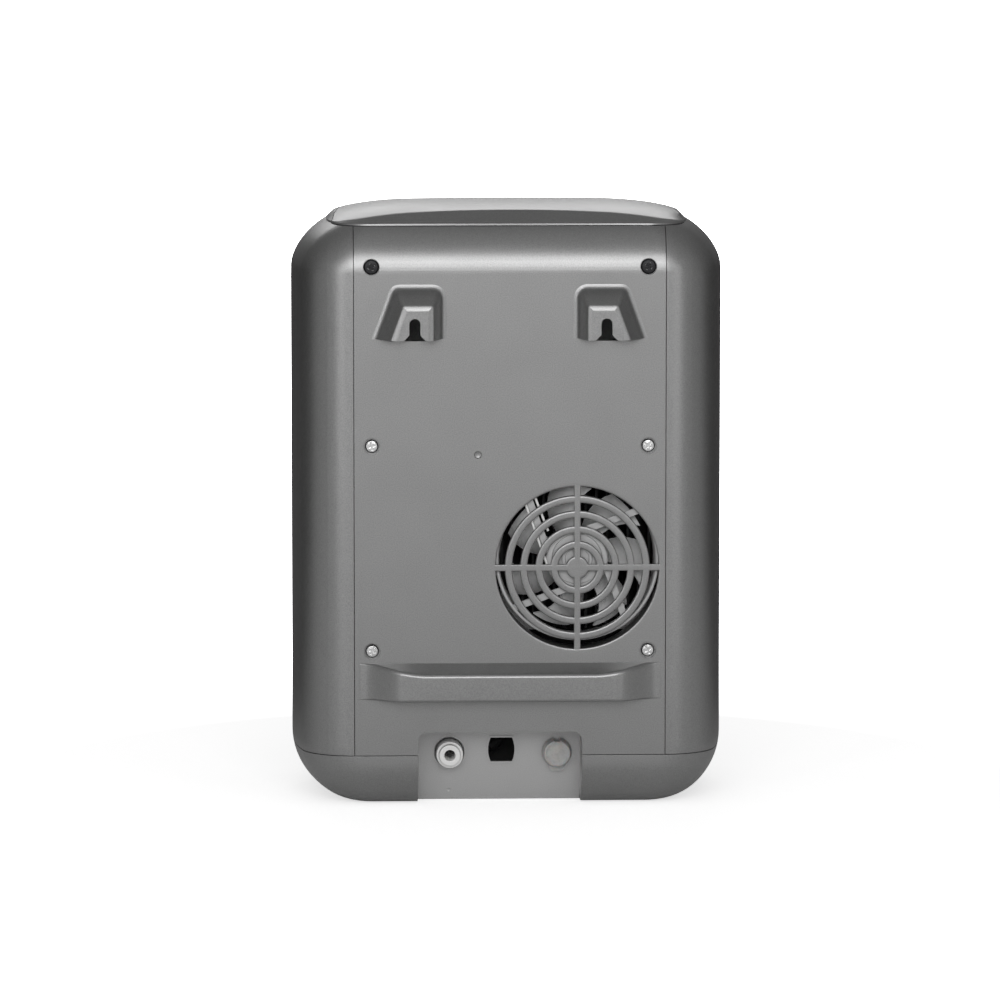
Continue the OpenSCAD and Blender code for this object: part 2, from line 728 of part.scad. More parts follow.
module thermostats() color("black") for (z = [heater_z0 + 45, heater_z0 + 68]) difference() {
    union() {
        rod_x(heater_x + heater_r - 3, heater_x + heater_r + 5, heater_y, z, 7);
        box(heater_x + heater_r + 5, heater_x + heater_r + 11, heater_y - 3, heater_y + 3, z - 0.4, z + 0.4);
    }
    rod_z(heater_x, heater_y, z - 8, z + 8, heater_r + 0.1);
}

module pump_mount() color("black") rod_z(heater_x, heater_y, floor_z, pump_z, pump_r - 6);

module pump_head() color("white") {
    rod_z(heater_x, heater_y, pump_z, pump_z + pump_l, pump_r);
    barb_x(heater_x + pump_r - 1, heater_y, pump_z + 10);
    rod_y(heater_x, pump_z + 10, heater_y + pump_r - 1, heater_y + pump_r + barb_l, barb_r);
}

module pump_motor() color("silver") {
    z0 = pump_z + pump_l;
    rod_z(heater_x, heater_y, z0, z0 + motor_l, motor_r);
    rod_z(heater_x, heater_y, z0 + motor_l, z0 + motor_l + 4, 5);
}

// ---------------------------------------------------------------- inlet, valve and drain

module inlet_fitting() color("white") difference() {
    union() {
        rod_y(inlet_x, port_z, inlet_y0, bay_y - bay_t, inlet_r + 2);
        rod_y(inlet_x, port_z, bay_y - bay_t, bay_y, inlet_r - 1.2);
        rod_y(inlet_x, port_z, bay_y, inlet_y1, inlet_r);
    }
    rod_y(inlet_x, port_z, inlet_y0 + 3, inlet_y1 + 1, collet_r + shaft_gap);
    rod_y(inlet_x, port_z, inlet_y0 - 1, inlet_y1, 2.2);
}

module inlet_collet() color("whitesmoke") difference() {
    union() {
        rod_y(inlet_x, port_z, collet_y0, inlet_y1 + collet_travel + seat, collet_r);
        rod_y(inlet_x, port_z, inlet_y1 + collet_travel + seat, inlet_y1 + collet_travel + seat + 2, collet_flange_r);
    }
    rod_y(inlet_x, port_z, collet_y0 - 1, inlet_y1 + 10, tube_r);
}

coil_z0 = port_z + valve_h / 2;
valve_mid = (valve_y0 + valve_y1) / 2;
module inlet_valve() color("white") {
    difference() {
        box(inlet_x - valve_w / 2, inlet_x + valve_w / 2, valve_y0, valve_y1, valve_z0, coil_z0);
        rod_y(inlet_x, port_z, valve_mid, valve_y1 + 1, 2.2);
    }
    barb_x(inlet_x - valve_w / 2, valve_mid, port_z, -1);
}

module valve_coil() color("darkgreen") difference() {
    box(inlet_x - valve_w / 2 + 1, inlet_x + valve_w / 2 - 1, valve_y0 + 1, valve_y1 - 1, coil_z0, coil_z0 + coil_h);
    rod_z(inlet_x, valve_mid, coil_z0 - 1, coil_z0 + plunger_l + plunger_travel + 1, plunger_r + shaft_gap);
}

module valve_plunger() color("silver")
    rod_z(inlet_x, valve_mid, coil_z0 + 0.1, coil_z0 + plunger_l, plunger_r);

module drain_spigot() color("ivory") difference() {
    union() {
        rod_y(plug_x, port_z, bay_y - bay_t - 3, bay_y - bay_t, plug_r + 1);
        rod_y(plug_x, port_z, bay_y - bay_t, bay_y + 1, plug_r - 1.6);
        rod_y(plug_x, port_z, bay_y - bay_t - 3 - barb_l, bay_y - bay_t - 3, barb_r + 0.6);
    }
    rod_y(plug_x, port_z, bay_y - bay_t - 2, bay_y + 2, plug_r - 3);
    rod_y(plug_x, port_z, bay_y - 20, bay_y + 2, barb_r - 1);
}

module drain_plug() color("lightgray") {
    y0 = bay_y + 1 + seat;
    rod_y(plug_x, port_z, bay_y - 1, y0, plug_r - 3 - shaft_gap);
    rod_y(plug_x, port_z, y0, y0 + 8, plug_r);
    difference() {
        box(plug_x - 5.8, plug_x + 5.8, y0 + 5, y0 + 8, port_z - plug_r - 2.4, port_z);
        rod_y(plug_x, port_z, y0, y0 + 8, plug_r - 1);
    }
}

// ---------------------------------------------------------------- hoses

module hose_inlet() color("lightcyan") {
    x0 = inlet_x - valve_w / 2 - barb_l;
    hose([[x0, valve_mid, port_z], [x0 - 6, valve_mid, port_z], [4, 27, 38], [2, 36, 52], [6, 50, 75],
        [14, 60, 105], [16, 62, 150], [16, 62, 200], [18, 63, fill_z - 40], [20, 62, fill_z - 16],
        [fill_x, tank_y1 + barb_l + 7, fill_z], [fill_x, tank_y1 + barb_l, fill_z]]);
}

module hose_cold_in() color("lightcyan") {
    x0 = block_barb_x + barb_l;
    p = tank_ports[0];
    hose([[p[0], p[1], shelf_z - 4], [p[0], p[1], shelf_z - 11], [23, 24, shelf_z - 25],
        [22, 14, fan_z + 40], [x0 + 10, block_barb_y + 1, fan_z + 31],
        [x0 + 5, block_barb_y, fan_z + 28], [x0, block_barb_y, fan_z + 28]]);
}

module hose_cold_out() color("lightcyan") {
    x0 = block_barb_x + barb_l;
    hose([[x0, block_barb_y, fan_z - 28], [x0 + 8, block_barb_y, fan_z - 28], [25, 12, fan_z - 19],
        [32, 18, 150], [35, 22, 180], [33, 18, shelf_z - 22], [pass_x[0], pass_y + 9, pass_z - 1],
        [pass_x[0], pass_y, pass_z], [pass_x[0] - 1, pass_y - 6, pass_z], [24, pass_y - 11, pass_z],
        [13, pass_y - 12, pass_z], [8, pass_y - 15, pass_z], [8, nozzle_y + 16, pass_z]]);
}

module hose_pump_in() color("lightcyan") {
    p = tank_ports[1];
    x1 = heater_x + pump_r - 1 + barb_l;
    hose([[p[0], p[1], shelf_z - 4], [p[0], p[1], shelf_z - 12], [heater_x - 9, 54, 194],
        [heater_x + 5, 58, 164], [heater_x + 19, 56, 132], [heater_x + 27, 50, 98], [heater_x + 31, 42, 66],
        [heater_x + 33, 34, 38], [x1 + 9, heater_y + 2, pump_z + 18],
        [x1 + 6, heater_y, pump_z + 10], [x1, heater_y, pump_z + 10]]);
}

module hose_pump_out() color("lightcyan") {
    y0 = heater_y + pump_r + barb_l;
    y1 = heater_y + heater_r + barb_l;
    hose([[heater_x, y0, pump_z + 10], [heater_x, y0 + 6, pump_z + 10], [heater_x, y0 + 10, pump_z + 28],
        [heater_x, y0 + 10, heater_z0 - 14], [heater_x, y1 + 6, heater_z0 + 10], [heater_x, y1, heater_z0 + 10]]);
}

module hose_hot_out() color("lightcyan") {
    z0 = heater_z0 + heater_l + 6 + barb_l;
    hose([[heater_x, heater_y, z0], [heater_x, heater_y, z0 + 5], [heater_x - 8, 23, pass_z - 1],
        [heater_x - 18, 16, pass_z], [pass_x[1], pass_y + 8, pass_z], [pass_x[1], pass_y, pass_z],
        [pass_x[1], pass_y - 8, pass_z], [41, -26, pass_z],
        [nozzle_r + barb_l + 7, nozzle_y, pass_z], [nozzle_r + barb_l - 1, nozzle_y, pass_z]]);
}

module hose_drain() color("lightcyan") {
    y0 = bay_y - bay_t - 3 - barb_l;
    p = tank_ports[2];
    hose([[plug_x, y0, port_z], [plug_x, y0 - 7, port_z], [-22, 22, 34], [-6, 20, 48], [8, 24, 66],
        [14, 32, 92], [13, 38, 130], [12, 38, 170], [p[0], p[1], shelf_z - 26], [p[0], p[1], shelf_z - 4]]);
}

// ---------------------------------------------------------------- front: nozzle, tray and controls

module nozzle() color("black") {
    rod_z(0, nozzle_y, alcove_top + liner_t, shelf_z - 4, nozzle_r);
    rod_z(0, nozzle_y, alcove_top - 6, alcove_top + liner_t, nozzle_r - 3.3);
    rod_x(nozzle_r - 1, nozzle_r + barb_l - 1, nozzle_y, pass_z, barb_r);
    rod_y(8, pass_z, nozzle_y + 10, nozzle_y + 16, barb_r);
}

module nozzle_tip() color("silver") difference() {
    rod_z(0, nozzle_y, alcove_top - 18, alcove_top - 6, 7);
    for (s = [-1, 1]) rod_z(s * 3, nozzle_y, alcove_top - 19, alcove_top - 5, 1.6);
}

tray_x = alcove_w / 2 - tray_gap;
tray_z = alcove_z + seat;
tray_y0 = -half_d;
tray_y1 = alcove_back - tray_gap;
module tray_corner() box(-tray_x, tray_x, tray_y0, tray_y1, tray_z, tray_z + tray_h);

module drip_tray() color("dimgray") difference() {
    intersection() {
        tray_corner();
        along_y(-200, 0) rounded(-tray_x, tray_x, tray_z, alcove_top, 8 - tray_gap);
    }
    box(-tray_x + tray_t + 5, tray_x - tray_t - 5, tray_y0 + tray_t + 2, tray_y1 - tray_t - 2,
        tray_z + tray_t, tray_z + tray_h + 1);
    box(-tray_x + tray_t, tray_x - tray_t, tray_y0 + tray_t, tray_y1 - tray_t,
        tray_z + tray_h - grid_t, tray_z + tray_h + 1);
}

module drip_grid() color("silver") difference() {
    box(-tray_x + tray_t + 0.3, tray_x - tray_t - 0.3, tray_y0 + tray_t + 0.3, tray_y1 - tray_t - 0.3,
        tray_z + tray_h - grid_t, tray_z + tray_h);
    for (k = [-4:4]) box(k * 8 - 1.8, k * 8 + 1.8, tray_y0 + 10, tray_y1 - 10, 0, 200);
}

module display_lens() color("black")
    along_y(-half_d, -half_d + lens_t)
        rounded(-lens_w / 2 + 0.15, lens_w / 2 - 0.15, lens_z + 0.15, lens_z + lens_h - 0.15, 6 - 0.15);

module display_board() color("darkgreen")
    box(-lens_w / 2, lens_w / 2, board_y, board_y + board_t, button_z - 10, lens_z + lens_h + 9);

module switches() color("dimgray") {
    for (k = [-1.5:1:1.5]) {
        box(k * button_pitch - 3, k * button_pitch + 3, board_y - 1.6, board_y, button_z - 3, button_z + 3);
    }
    box(-lens_w / 2 + 8, lens_w / 2 - 8, board_y - 1.4, board_y, lens_z + 6, lens_z + lens_h - 6);
}

module button(k) {
    x = k * button_pitch;
    y_end = board_y - 1.6 - button_travel - 0.1;
    rod_y(x, button_z, -half_d - 0.6, -inner_y + button_travel, button_r);
    rod_y(x, button_z, -inner_y + seat, -inner_y + seat + 1, flange_r);
    rod_y(x, button_z, -inner_y, y_end, 2);
}
module button_hot() color("firebrick") button(-1.5);
module button_warm() color("gray") button(-0.5);
module button_cold() color("steelblue") button(0.5);
module button_lock() color("gray") button(1.5);

// ---------------------------------------------------------------- electronics

board_x = flange_x - 4;
module power_board() color("darkgreen")
    box(board_x - board_t, board_x, block_y0 + 2, shelf_y1 - 2, fan_z - 44, shelf_z - 6);

module board_parts() color("goldenrod") {
    x1 = board_x - board_t;
    box(x1 - 15, x1, block_y0 + 8, block_y0 + 28, fan_z - 30, fan_z - 6);
    rod_x(x1 - 14, x1, block_y0 + 34, fan_z - 20, 6);
    box(x1 - 12, x1, block_y0 + 8, block_y0 + 22, fan_z + 2, fan_z + 20);
    box(x1 - 12, x1, block_y0 + 26, block_y0 + 40, fan_z + 2, fan_z + 20);
    box(x1 - 9, x1, block_y0 + 8, block_y0 + 38, fan_z + 28, fan_z + 36);
}

rear_panel();
side_shell(-1);  // side_shell_right
side_shell(1);  // side_shell_left
base_shell();
top_cover();
front_panel();
connection_bay();
alcove_liner();
chassis();
panel_screws();
top_screws();
fan_frame();
fan_rotor();
fan_screws();
heat_sink();
cooling_module();
cold_block();
buffer_tank();
tank_cap();
float_stem();
level_float();
heater();
heater_clips();
thermostats();
pump_mount();
pump_head();
pump_motor();
inlet_fitting();
inlet_collet();
inlet_valve();
valve_coil();
valve_plunger();
drain_spigot();
drain_plug();
hose_inlet();
hose_cold_in();
hose_cold_out();
hose_pump_in();
hose_pump_out();
hose_hot_out();
hose_drain();
nozzle();
nozzle_tip();
drip_tray();
drip_grid();
display_lens();
display_board();
switches();
button_hot();
button_warm();
button_cold();
button_lock();
power_board();
board_parts();
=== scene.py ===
"""Wall-hung drinking-water dispenser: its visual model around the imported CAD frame.

Metres, +Z up, rear (wall side) towards +Y. The classes below hold their sizes in millimetres.
"""
import sys
import json
import logging
import math
from collections.abc import Callable, Iterator, Sequence
from contextlib import contextmanager
from dataclasses import dataclass, field
from enum import Enum

import bpy
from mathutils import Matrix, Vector

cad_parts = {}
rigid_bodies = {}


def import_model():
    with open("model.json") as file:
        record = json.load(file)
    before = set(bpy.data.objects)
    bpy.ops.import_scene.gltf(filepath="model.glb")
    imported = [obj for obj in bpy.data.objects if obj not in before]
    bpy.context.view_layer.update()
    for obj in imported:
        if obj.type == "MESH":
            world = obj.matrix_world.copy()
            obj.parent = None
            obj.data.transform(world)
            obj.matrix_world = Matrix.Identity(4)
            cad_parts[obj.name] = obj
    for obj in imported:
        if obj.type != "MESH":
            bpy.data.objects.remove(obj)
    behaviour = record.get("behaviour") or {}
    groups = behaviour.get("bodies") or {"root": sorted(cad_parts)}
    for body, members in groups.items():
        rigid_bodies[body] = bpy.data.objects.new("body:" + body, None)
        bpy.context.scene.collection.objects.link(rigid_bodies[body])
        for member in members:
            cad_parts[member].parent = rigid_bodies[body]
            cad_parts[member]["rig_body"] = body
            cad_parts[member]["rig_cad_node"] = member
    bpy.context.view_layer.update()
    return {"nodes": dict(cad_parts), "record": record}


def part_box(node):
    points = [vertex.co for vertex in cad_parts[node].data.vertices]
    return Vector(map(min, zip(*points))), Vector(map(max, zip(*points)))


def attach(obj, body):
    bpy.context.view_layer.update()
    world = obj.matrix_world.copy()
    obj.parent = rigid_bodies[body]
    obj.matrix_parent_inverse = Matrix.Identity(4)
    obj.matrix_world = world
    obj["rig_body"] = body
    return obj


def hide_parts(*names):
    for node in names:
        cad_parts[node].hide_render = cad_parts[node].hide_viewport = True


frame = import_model()
LOG = logging.getLogger("dispenser")
MM = 0.001
Point = tuple[float, float, float]
Outline = list[tuple[float, float]]
Object = bpy.types.Object


class Axis(Enum):
    """Axis of a cylinder, with the turn that brings +Z onto it."""

    X = (0.0, math.pi / 2, 0.0)
    Y = (-math.pi / 2, 0.0, 0.0)


class Trim(Enum):
    """Operation of a boolean modifier."""

    CUT = "DIFFERENCE"
    JOIN = "UNION"


class Part(Enum):
    """Kind of mesh element that is selected."""

    VERTEX = "VERT"
    FACE = "FACE"


def clamp(value: float) -> float:
    """Limits a number to the range from 0 to 1."""
    return min(1.0, max(0.0, value))


# ---------------------------------------------------------------- modelling


class Bench:
    """Modelling steps on Blender's own operators. Every length is in millimetres."""

    @staticmethod
    def clear() -> None:
        """Leaves edit mode and deselects everything."""
        if bpy.context.object and bpy.context.object.mode != "OBJECT":
            bpy.ops.object.mode_set(mode="OBJECT")
        bpy.ops.object.select_all(action="DESELECT")

    @staticmethod
    def pick(*pieces: Object) -> None:
        """Selects pieces and makes the first one active.

        Args:
            *pieces: The pieces.
        """
        Bench.clear()
        for piece in pieces:
            piece.select_set(True)
        bpy.context.view_layer.objects.active = pieces[0]

    @staticmethod
    @contextmanager
    def editing(piece: Object) -> Iterator[None]:
        """Holds a piece in edit mode with its whole mesh selected.

        Args:
            piece: The piece.

        Returns:
            The context.
        """
        Bench.pick(piece)
        bpy.ops.object.mode_set(mode="EDIT")
        bpy.ops.mesh.select_all(action="SELECT")
        yield
        bpy.ops.object.mode_set(mode="OBJECT")

    @staticmethod
    @contextmanager
    def selecting(piece: Object, part: Part, test: Callable[..., bool]) -> Iterator[None]:
        """Holds a piece in edit mode with some of its vertices or faces selected.

        Args:
            piece: The piece.
            part: Kind of element.
            test: Tells which elements are selected.

        Returns:
            The context.
        """
        with Bench.editing(piece):
            bpy.ops.mesh.select_mode(type=part.value)
            bpy.ops.mesh.select_all(action="DESELECT")
        for item in piece.data.polygons if part is Part.FACE else piece.data.vertices:
            item.select = test(item)
        bpy.ops.object.mode_set(mode="EDIT")
        yield
        bpy.ops.object.mode_set(mode="OBJECT")

    @staticmethod
    def settle(name: str) -> Object:
        """Names the piece just added and moves its place and size into its mesh.

        Args:
            name: Its name.

        Returns:
            The piece.
        """
        piece = bpy.context.object
        piece.name = name
        bpy.ops.object.transform_apply(location=True, rotation=True, scale=True)
        return piece

    @staticmethod
    def put(piece: Object, at: Sequence[float], turn: float) -> Object:
        """Turns a piece about Y and moves it, in its mesh.

        Args:
            piece: The piece.
            at: Where its origin goes.
            turn: Angle in radians.

        Returns:
            The piece.
        """
        piece.rotation_euler = (0, turn, 0)
        piece.location = [c * MM for c in at]
        Bench.pick(piece)
        return Bench.settle(piece.name)

    @staticmethod
    def slab(name: str, low: Sequence[float], high: Sequence[float]) -> Object:
        """Adds a box between two corners.

        Args:
            name: Name of the piece.
            low: Lowest corner.
            high: Highest corner.

        Returns:
            The box.
        """
        Bench.clear()
        centre = [(a + b) / 2 * MM for a, b in zip(low, high)]
        size = [(b - a) * MM for a, b in zip(low, high)]
        bpy.ops.mesh.primitive_cube_add(size=1, location=centre, scale=size)
        return Bench.settle(name)

    @staticmethod
    def post(name: str, base: Sequence[float], axis: Axis, radius: float, length: float,
             sides: int = 64) -> Object:
        """Adds a cylinder.

        Args:
            name: Name of the piece.
            base: Centre of its lower end.
            axis: Direction it stands in.
            radius: Its radius.
            length: Length along the axis.
            sides: Number of sides.

        Returns:
            The cylinder.
        """
        Bench.clear()
        step = {Axis.X: (1, 0, 0), Axis.Y: (0, 1, 0)}[axis]
        centre = [(b + s * length / 2) * MM for b, s in zip(base, step)]
        bpy.ops.mesh.primitive_cone_add(vertices=sides, radius1=radius * MM, radius2=radius * MM,
                                        depth=length * MM, location=centre, rotation=axis.value)
        return Bench.settle(name)

    @staticmethod
    def sheet(name: str, across: Sequence, along: Sequence, place: Callable[..., Point]) -> Object:
        """Adds a grid and moves each of its vertices to a point of a surface.

        Args:
            name: Name of the piece.
            across: Value of each column.
            along: Value of each row.
            place: Gives the point for a column's and a row's value.

        Returns:
            The curved sheet, with its doubles merged.
        """
        Bench.clear()
        columns, rows = len(across), len(along)
        bpy.ops.mesh.primitive_grid_add(x_subdivisions=columns - 1, y_subdivisions=rows - 1, size=2)
        piece = Bench.settle(name)
        flat = [c * MM for v in along for u in across for c in place(u, v)]
        piece.data.vertices.foreach_set("co", flat)
        piece.data.update()
        return Bench.weld(piece)

    @staticmethod
    def outline(name: str, points: Sequence[Sequence[float]], y0: float, y1: float) -> Object:
        """Adds a plate.

        Args:
            name: Name of the piece.
            points: Its outline in x and z.
            y0: Where it starts.
            y1: Where it ends.

        Returns:
            The plate.
        """
        Bench.clear()
        bpy.ops.mesh.primitive_circle_add(vertices=len(points), fill_type="NGON")
        piece = Bench.settle(name)
        flat = [c * MM for x, z in points for c in (x, y0, z)]
        piece.data.vertices.foreach_set("co", flat)
        piece.data.update()
        with Bench.editing(piece):
            bpy.ops.mesh.extrude_region_move(TRANSFORM_OT_translate={"value": (0, (y1 - y0) * MM, 0)})
            bpy.ops.mesh.select_all(action="SELECT")
            bpy.ops.mesh.normals_make_consistent(inside=False)
        return piece

    @staticmethod
    def turned(name: str, centre: Sequence[float], profile: Outline, sides: int = 64) -> Object:
        """Adds a piece turned about an axis along Y.

        Args:
            name: Name of the piece.
            centre: Point on its axis.
            profile: Radius and place past the centre of each ring, from pole to pole.
            sides: Number of sides.

        Returns:
            The closed turned piece.
        """
        def place(angle: float, ring: tuple[float, float]) -> Point:
            """Point of a ring at an angle."""
            x, y, z = centre
            return x + ring[0] * math.cos(angle), y + ring[1], z + ring[0] * math.sin(angle)

        return Bench.sheet(name, [math.tau * k / sides for k in range(sides + 1)], profile, place)

    @staticmethod
    def face_rear(piece: Object) -> Object:
        """Turns an open sheet's faces over if most of them look away from the rear.

        Args:
            piece: The sheet.

        Returns:
            The sheet.
        """
        if sum(face.normal.y * face.area for face in piece.data.polygons) < 0:
            with Bench.editing(piece):
                bpy.ops.mesh.flip_normals()
        return piece

    @staticmethod
    def copy(piece: Object, name: str) -> Object:
        """Copies a piece with its mesh.

        Args:
            piece: The piece.
            name: Name of the copy.

        Returns:
            The copy.
        """
        Bench.pick(piece)
        bpy.ops.object.duplicate(linked=False)
        bpy.context.object.name = name
        return bpy.context.object

    @staticmethod
    def join(pieces: Sequence[Object]) -> Object:
        """Joins pieces.

        Args:
            pieces: The pieces.

        Returns:
            The first piece, with the others in it.
        """
        Bench.pick(*pieces)
        if len(pieces) > 1:
            bpy.ops.object.join()
        return bpy.context.object

    @staticmethod
    def weld(piece: Object, reach: float = 0.001) -> Object:
        """Merges doubles and turns the faces outwards.

        Args:
            piece: The piece.
            reach: Distance within which vertices are merged.

        Returns:
            The piece.
        """
        with Bench.editing(piece):
            bpy.ops.mesh.remove_doubles(threshold=reach * MM)
            bpy.ops.mesh.normals_make_consistent(inside=False)
        return piece

    @staticmethod
    def split(piece: Object, at: Sequence[float], normal: Sequence[float], drop: bool = True,
              fill: bool = False) -> Object:
        """Bisects a piece with a plane.

        Args:
            piece: The piece.
            at: Point on the plane.
            normal: The plane's normal.
            drop: Whether the side that the normal points to goes.
            fill: Whether the cut is closed.

        Returns:
            The piece.
        """
        with Bench.editing(piece):
            bpy.ops.mesh.bisect(plane_co=[c * MM for c in at], plane_no=normal, clear_outer=drop,
                                use_fill=fill, threshold=1e-7)
        return piece

    @staticmethod
    def flatten(piece: Object) -> Object:
        """Dissolves the edges inside flat areas.

        Args:
            piece: The piece.

        Returns:
            The piece.
        """
        with Bench.editing(piece):
            bpy.ops.mesh.dissolve_limited(angle_limit=math.radians(0.05))
        return piece

    @staticmethod
    def modify(piece: Object, kind: str, **settings: object) -> Object:
        """Adds a modifier and applies it.

        Args:
            piece: The piece.
            kind: Type of the modifier.
            **settings: Its properties.

        Returns:
            The piece.
        """
        modifier = piece.modifiers.new(kind.lower(), kind)
        for key, value in settings.items():
            setattr(modifier, key, value)
        Bench.pick(piece)
        bpy.ops.object.modifier_apply(modifier=modifier.name)
        return piece

    @staticmethod
    def carve(piece: Object, tools: Sequence[Object], trim: Trim = Trim.CUT) -> Object:
        """Cuts a piece with tools that don't overlap each other, or joins them to it.

        Args:
            piece: The piece.
            tools: The tools, which are used up.
            trim: What is done.

        Returns:
            The piece.
        """
        tool = Bench.join(tools)
        Bench.modify(piece, "BOOLEAN", object=tool, operation=trim.value, solver="EXACT")
        bpy.data.objects.remove(tool)
        return piece

    @staticmethod
    def thicken(piece: Object, wall: float) -> Object:
        """Gives a sheet a wall on its inner side."""
        return Bench.modify(piece, "SOLIDIFY", thickness=wall * MM, offset=-1, use_even_offset=True)

    @staticmethod
    def soften(piece: Object, width: float, steps: int = 2, angle: float = 40) -> Object:
        """Bevels the sharp edges of a piece.

        Args:
            piece: The piece.
            width: Width of the bevel.
            steps: Number of segments.
            angle: Least angle in degrees at which an edge is sharp.

        Returns:
            The piece.
        """
        return Bench.modify(piece, "BEVEL", width=width * MM, segments=steps, limit_method="ANGLE",
                            angle_limit=math.radians(angle), use_clamp_overlap=True)

    @staticmethod
    def smooth(piece: Object, angle: float = 35) -> Object:
        """Shades a piece smooth.

        Args:
            piece: The piece.
            angle: Angle in degrees over which an edge stays sharp.

        Returns:
            The piece.
        """
        Bench.pick(piece)
        bpy.ops.object.shade_smooth_by_angle(angle=math.radians(angle))
        return Bench.modify(piece, "WEIGHTED_NORMAL", mode="FACE_AREA", weight=100, keep_sharp=True)


# ---------------------------------------------------------------- materials


class Signal:
    """A shader socket on which Python's operators add Math nodes."""

    def __init__(self, tree: bpy.types.NodeTree, socket: bpy.types.NodeSocket) -> None:
        """Keeps the tree and the output socket."""
        self.tree = tree
        self.socket = socket

    def math(self, operation: str, *values: "Signal | float") -> "Signal":
        """Adds a Math node.

        Args:
            operation: What it does.
            *values: What it works on.

        Returns:
            The node's result.
        """
        node = self.tree.nodes.new("ShaderNodeMath")
        node.operation = operation
        for slot, value in zip(node.inputs, values):
            if isinstance(value, Signal):
                self.tree.links.new(value.socket, slot)
            else:
                slot.default_value = value
        return Signal(self.tree, node.outputs[0])

    def __add__(self, other: "Signal | float") -> "Signal":
        """Adds."""
        return self.math("ADD", self, other)

    __radd__ = __add__

    def __sub__(self, other: "Signal | float") -> "Signal":
        """Subtracts."""
        return self.math("SUBTRACT", self, other)

    def __rsub__(self, other: float) -> "Signal":
        """Subtracts from a number."""
        return self.math("SUBTRACT", other, self)

    def __mul__(self, other: "Signal | float") -> "Signal":
        """Multiplies."""
        return self.math("MULTIPLY", self, other)

    __rmul__ = __mul__

    def __truediv__(self, other: "Signal | float") -> "Signal":
        """Divides."""
        return self.math("DIVIDE", self, other)

    def __pow__(self, other: "Signal | float") -> "Signal":
        """Raises to a power."""
        return self.math("POWER", self, other)

    def __abs__(self) -> "Signal":
        """Drops the sign."""
        return self.math("ABSOLUTE", self)

    def clamp(self) -> "Signal":
        """Limits to the range from 0 to 1."""
        return self.math("MAXIMUM", self.math("MINIMUM", self, 1.0), 0.0)


class Graph:
    """A node tree under construction."""

    def __init__(self, owner: bpy.types.Material | bpy.types.World, blank: bool = True) -> None:
        """Starts on the tree of a material or world.

        Args:
            owner: The material or world.
            blank: Whether the tree's first nodes are removed.
        """
        owner.use_nodes = True
        self.tree = owner.node_tree
        if blank:
            self.tree.nodes.clear()

    def node(self, kind: str, out: str | int = 0, settings: dict | None = None,
             **values: object) -> Signal | None:
        """Adds a node.

        Args:
            kind: Node type.
            out: Output to return.
            settings: Properties of the node, set before its inputs.
            **values: Input values or signals, by name with underscores for spaces, or by number as i0
                and so on.

        Returns:
            The chosen output, if the node has any.
        """
        node = self.tree.nodes.new(kind)
        for key, value in (settings or {}).items():
            setattr(node, key, value)
        for key, value in values.items():
            numbered = key[0] == "i" and key[1:].isdigit()
            self.feed(node.inputs[int(key[1:]) if numbered else key.replace("_", " ")], value)
        return Signal(self.tree, node.outputs[out]) if len(node.outputs) else None

    def feed(self, socket: bpy.types.NodeSocket, value: object) -> None:
        """Sets or links an input.

        Args:
            socket: The input.
            value: Its value, colour or signal.
        """
        if isinstance(value, Signal):
            self.tree.links.new(value.socket, socket)
        elif isinstance(value, tuple) and len(value) == 3 and socket.type == "RGBA":
            socket.default_value = (*value, 1.0)
        else:
            socket.default_value = value


class Recipe(Graph):
    """A material's node tree around one principled shader."""

    def __init__(self, name: str) -> None:
        """Starts a material.

        Args:
            name: Its name.
        """
        self.material = bpy.data.materials.new(name)
        super().__init__(self.material, blank=False)
        self.shader = self.tree.nodes["Principled BSDF"]
        self.place = self.node("ShaderNodeTexCoord", out="Object")

    def set(self, **values: object) -> None:
        """Sets or links the principled shader's inputs."""
        for key, value in values.items():
            self.feed(self.shader.inputs[key.replace("_", " ")], value)

    def noise(self, scale: float, detail: float = 2.0, rough: float = 0.5,
              stretch: Point | None = None) -> Signal:
        """Adds noise on Object coordinates.

        Args:
            scale: Its scale.
            detail: Its detail.
            rough: Its roughness.
            stretch: Scale of each axis, the same for all when left out.

        Returns:
            The noise.
        """
        place = self.place
        if stretch:
            place = self.node("ShaderNodeMapping", out="Vector", Vector=place, Scale=stretch)
        return self.node("ShaderNodeTexNoise", out="Fac", Vector=place, Scale=scale, Detail=detail,
                         Roughness=rough)

    def shade(self, colour: tuple, low: float, high: float, amount: Signal) -> Signal:
        """Varies a colour.

        Args:
            colour: The colour.
            low: Factor at an amount of 0.
            high: Factor at an amount of 1.
            amount: How far it goes from the one to the other.

        Returns:
            The varied colour.
        """
        dark, light = (tuple(min(1.0, c * factor) for c in colour) for factor in (low, high))
        return self.node("ShaderNodeMix", out=2, settings={"data_type": "RGBA"}, i0=amount, i6=dark, i7=light)

    def bump(self, height: Signal, depth: float) -> bpy.types.Material:
        """Feeds a bump to the shader's normal, as the last step.

        Args:
            height: Height of the relief.
            depth: Its depth in millimetres.

        Returns:
            The finished material.
        """
        self.set(Normal=self.node("ShaderNodeBump", out="Normal", Height=height, Distance=depth * MM,
                                  Strength=1.0))
        return self.material


